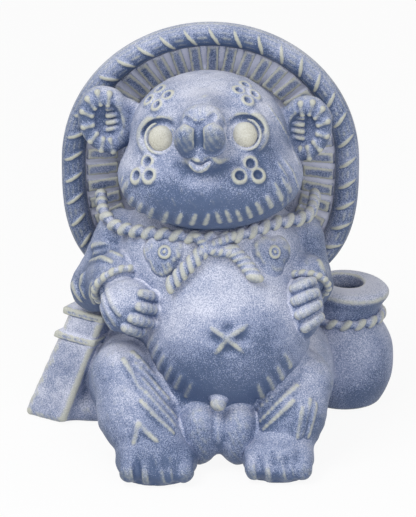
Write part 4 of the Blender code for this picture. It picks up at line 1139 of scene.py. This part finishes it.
def glazeGroup():
    group = bpy.data.node_groups.new("speckledGlaze", "ShaderNodeTree")
    link = group.links.new
    for title in glazeMarks:
        group.interface.new_socket(title, in_out="INPUT", socket_type="NodeSocketFloat")
    for title in glazeColours["blueGlaze"]:
        group.interface.new_socket(title, in_out="INPUT", socket_type="NodeSocketColor")
    for title, kind in (("Colour", "Color"), ("Rough", "Float"), ("Height", "Float")):
        group.interface.new_socket(title, in_out="OUTPUT", socket_type="NodeSocket" + kind)

    def calc(operation, a, b):
        made = addNode(group, "ShaderNodeMath", operation=operation)
        for socket, value in zip(made.inputs, (a, b)):
            if isinstance(value, (int, float)):
                socket.default_value = value
            else:
                link(value, socket)
        return made.outputs[0]

    def ramp(value, low, high):
        made = addNode(group, "ShaderNodeMapRange", {"From Min": low, "From Max": high},
                       interpolation_type="SMOOTHSTEP")
        link(value, made.inputs["Value"])
        return made.outputs["Result"]

    def noise(scale, detail):
        made = addNode(group, "ShaderNodeTexNoise", {"Scale": scale, "Detail": detail})
        link(where.outputs["Object"], made.inputs["Vector"])
        return made.outputs["Fac"]

    def mix(factor, a, b):
        made = addNode(group, "ShaderNodeMix", data_type="RGBA")
        link(factor, made.inputs["Factor"])
        link(a, made.inputs[6])
        link(b, made.inputs[7])
        return made.outputs[2]

    given = addNode(group, "NodeGroupInput").outputs
    where = addNode(group, "ShaderNodeTexCoord")
    surface = addNode(group, "ShaderNodeNewGeometry")
    split = addNode(group, "ShaderNodeSeparateXYZ")
    link(surface.outputs["Normal"], split.inputs[0])
    cloud = noise(glaze["cloud"], 3.0)
    grain = noise(glaze["grain"], 2.0)
    fine = noise(glaze["fine"], 1.0)
    level = calc("MULTIPLY", split.outputs["Z"], glaze["paintedLightFromAboveShare"])    # painted light from above: upward faces paler, downward faces darker; high is pale, low is dark
    for operation, value, share in (("ADD", given["Tone"], "toneAndShadeShare"),
                                    ("ADD", calc("SUBTRACT", cloud, 0.5), "cloudShare"),
                                    ("ADD", given["Pool"], "poolShare"),
                                    # painted shade in hollows
                                    ("SUBTRACT", given["Hollow"], "hollowShadeShare"),
                                    ("ADD", calc("SUBTRACT", grain, 0.5), "grainShare")):
        level = calc(operation, level, calc("MULTIPLY", value, glaze[share]))
    ground = mix(ramp(level, *glaze["middleRamp"]), given["Dark"], given["Middle"])
    ground = mix(ramp(level, *glaze["paleRamp"]), ground, given["Pale"])
    specks = ramp(calc("ADD", fine, calc("MULTIPLY", level, glaze["speckLevel"])), *glaze["speckRamp"])
    ground = mix(calc("MULTIPLY", specks, glaze["speckShare"]), ground, given["Pale"])
    ragged = calc("SUBTRACT", noise(glaze["worn"], 2.0), 0.5)
    worn = calc("ADD", given["Ridge"], calc("MULTIPLY", ragged, glaze["wornSpread"]))
    worn = calc("MULTIPLY", ramp(worn, *glaze["wornRamp"]), glaze["wornShare"])
    result = addNode(group, "NodeGroupOutput").inputs
    link(mix(worn, ground, given["Edge"]), result["Colour"])
    link(calc("ADD", glaze["rough"], calc("MULTIPLY", grain, glaze["roughGrain"])), result["Rough"])
    link(calc("ADD", grain, calc("MULTIPLY", fine, glaze["fineHeight"])), result["Height"])
    return group


def glazeMaterial(name):
    made = bpy.data.materials.new(name)
    made.use_nodes = True
    tree = made.node_tree
    shader = tree.nodes["Principled BSDF"]
    skinGroup = addNode(tree, "ShaderNodeGroup", node_tree=speckledGlaze)
    for title in glazeMarks:
        mark = addNode(tree, "ShaderNodeAttribute", attribute_name=title.lower())
        tree.links.new(mark.outputs["Fac"], skinGroup.inputs[title])
    for title, colour in glazeColours[name].items():
        skinGroup.inputs[title].default_value = (*colour, 1.0)
    bump = addNode(tree, "ShaderNodeBump", {"Strength": glaze["bump"], "Distance": glaze["bumpDepth"]})
    tree.links.new(skinGroup.outputs["Colour"], shader.inputs["Base Color"])
    tree.links.new(skinGroup.outputs["Rough"], shader.inputs["Roughness"])
    tree.links.new(skinGroup.outputs["Height"], bump.inputs["Height"])
    tree.links.new(bump.outputs["Normal"], shader.inputs["Normal"])
    shader.inputs["Specular IOR Level"].default_value = glaze["specular"]
    return made


studio = {"lens": 857.0, "sensor": 36.0, "distance": 6.0, "target": (-1.2, 0.0, 91.8), "farthest": 50.0,
          "floorReach": 6, "floorColour": (0.9, 0.9, 0.9, 1), "floorRough": 0.9, "floorWhite": 0.92,
          "worldLevel": 0.42, "lampAim": (0, 0, 0.1),
          "lamps": (((-0.5, -0.55, 1.1), 8.0, 0.7), ((0.35, -1.1, 0.5), 5.0, 0.9))}    # place, watts, size


# 1 where the background is looked at, straight or in a reflection, and 0 where it lights the figure.
def shownRays(tree):
    rays = addNode(tree, "ShaderNodeLightPath")
    shown = rays.outputs["Is Camera Ray"]
    for title in ("Is Glossy Ray", "Is Transmission Ray"):
        most = addNode(tree, "ShaderNodeMath", operation="MAXIMUM")
        tree.links.new(shown, most.inputs[0])
        tree.links.new(rays.outputs[title], most.inputs[1])
        shown = most.outputs[0]
    return shown


def makeCamera(scene):
    camera = bpy.data.objects.new("camera", bpy.data.cameras.new("camera"))
    scene.collection.objects.link(camera)
    target = (np.array(studio["target"]) + figureShift) * mm
    camera.location = Vector(target - sight * studio["distance"])
    camera.rotation_euler = Vector(sight).to_track_quat("-Z", "Y").to_euler()
    camera.data.lens = studio["lens"]
    camera.data.sensor_fit = "VERTICAL"
    camera.data.sensor_height = studio["sensor"]
    camera.data.clip_end = studio["farthest"]
    scene.camera = camera


def makeFloor():
    reach = studio["floorReach"]
    mesh = bpy.data.meshes.new("floor")
    mesh.from_pydata([(-reach, -reach, 0), (reach, -reach, 0), (reach, reach, 0), (-reach, reach, 0)], [],
                     [(0, 1, 2, 3)])
    floor = newPiece("floor", mesh)
    finish = bpy.data.materials.new("paleFloor")
    finish.use_nodes = True
    tree = finish.node_tree
    shader = tree.nodes["Principled BSDF"]
    shader.inputs["Base Color"].default_value = studio["floorColour"]
    shader.inputs["Roughness"].default_value = studio["floorRough"]
    white = addNode(tree, "ShaderNodeEmission")
    blend = addNode(tree, "ShaderNodeMixShader")
    share = addNode(tree, "ShaderNodeMath", {1: studio["floorWhite"]}, operation="MULTIPLY")
    tree.links.new(shownRays(tree), share.inputs[0])
    for i, part in enumerate((share, shader, white)):
        tree.links.new(part.outputs[0], blend.inputs[i])
    tree.links.new(blend.outputs[0], tree.nodes["Material Output"].inputs["Surface"])
    mesh.materials.append(finish)


def makeLight(scene):
    world = bpy.data.worlds.new("studio")
    scene.world = world
    world.use_nodes = True
    tree = world.node_tree
    sky = tree.nodes["Background"]
    sky.inputs["Color"].default_value = (1, 1, 1, 1)
    level = addNode(tree, "ShaderNodeMapRange", {"To Min": studio["worldLevel"], "To Max": 1.0})
    tree.links.new(shownRays(tree), level.inputs["Value"])
    tree.links.new(level.outputs[0], sky.inputs["Strength"])
    for place, energy, size in studio["lamps"]:
        lamp = bpy.data.objects.new("lamp", bpy.data.lights.new("lamp", "AREA"))
        lamp.data.energy = energy
        lamp.data.size = size
        lamp.location = place
        aim = Vector(studio["lampAim"]) - Vector(place)
        lamp.rotation_euler = aim.to_track_quat("-Z", "Y").to_euler()
        scene.collection.objects.link(lamp)


bpy.context.scene.view_settings.view_transform = "Standard"
makeCamera(bpy.context.scene)
makeFloor()
makeLight(bpy.context.scene)
print("stage")
speckledGlaze = glazeGroup()
blueGlaze = glazeMaterial("blueGlaze")
creamGlaze = glazeMaterial("creamGlaze")
padTree = padsTree()
makeClayPieces()
makeRopes()
makeCuffs()
makeHat()
makeFlask()
for name, piece in finished.items():
    paintMarks(name, piece)
    piece.data.materials.clear()
    piece.data.materials.append(creamGlaze if name.startswith("eye_") else blueGlaze)
    piece.data.shade_smooth()
    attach(piece, "root")
    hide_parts(name)
print("glazed", len(finished))
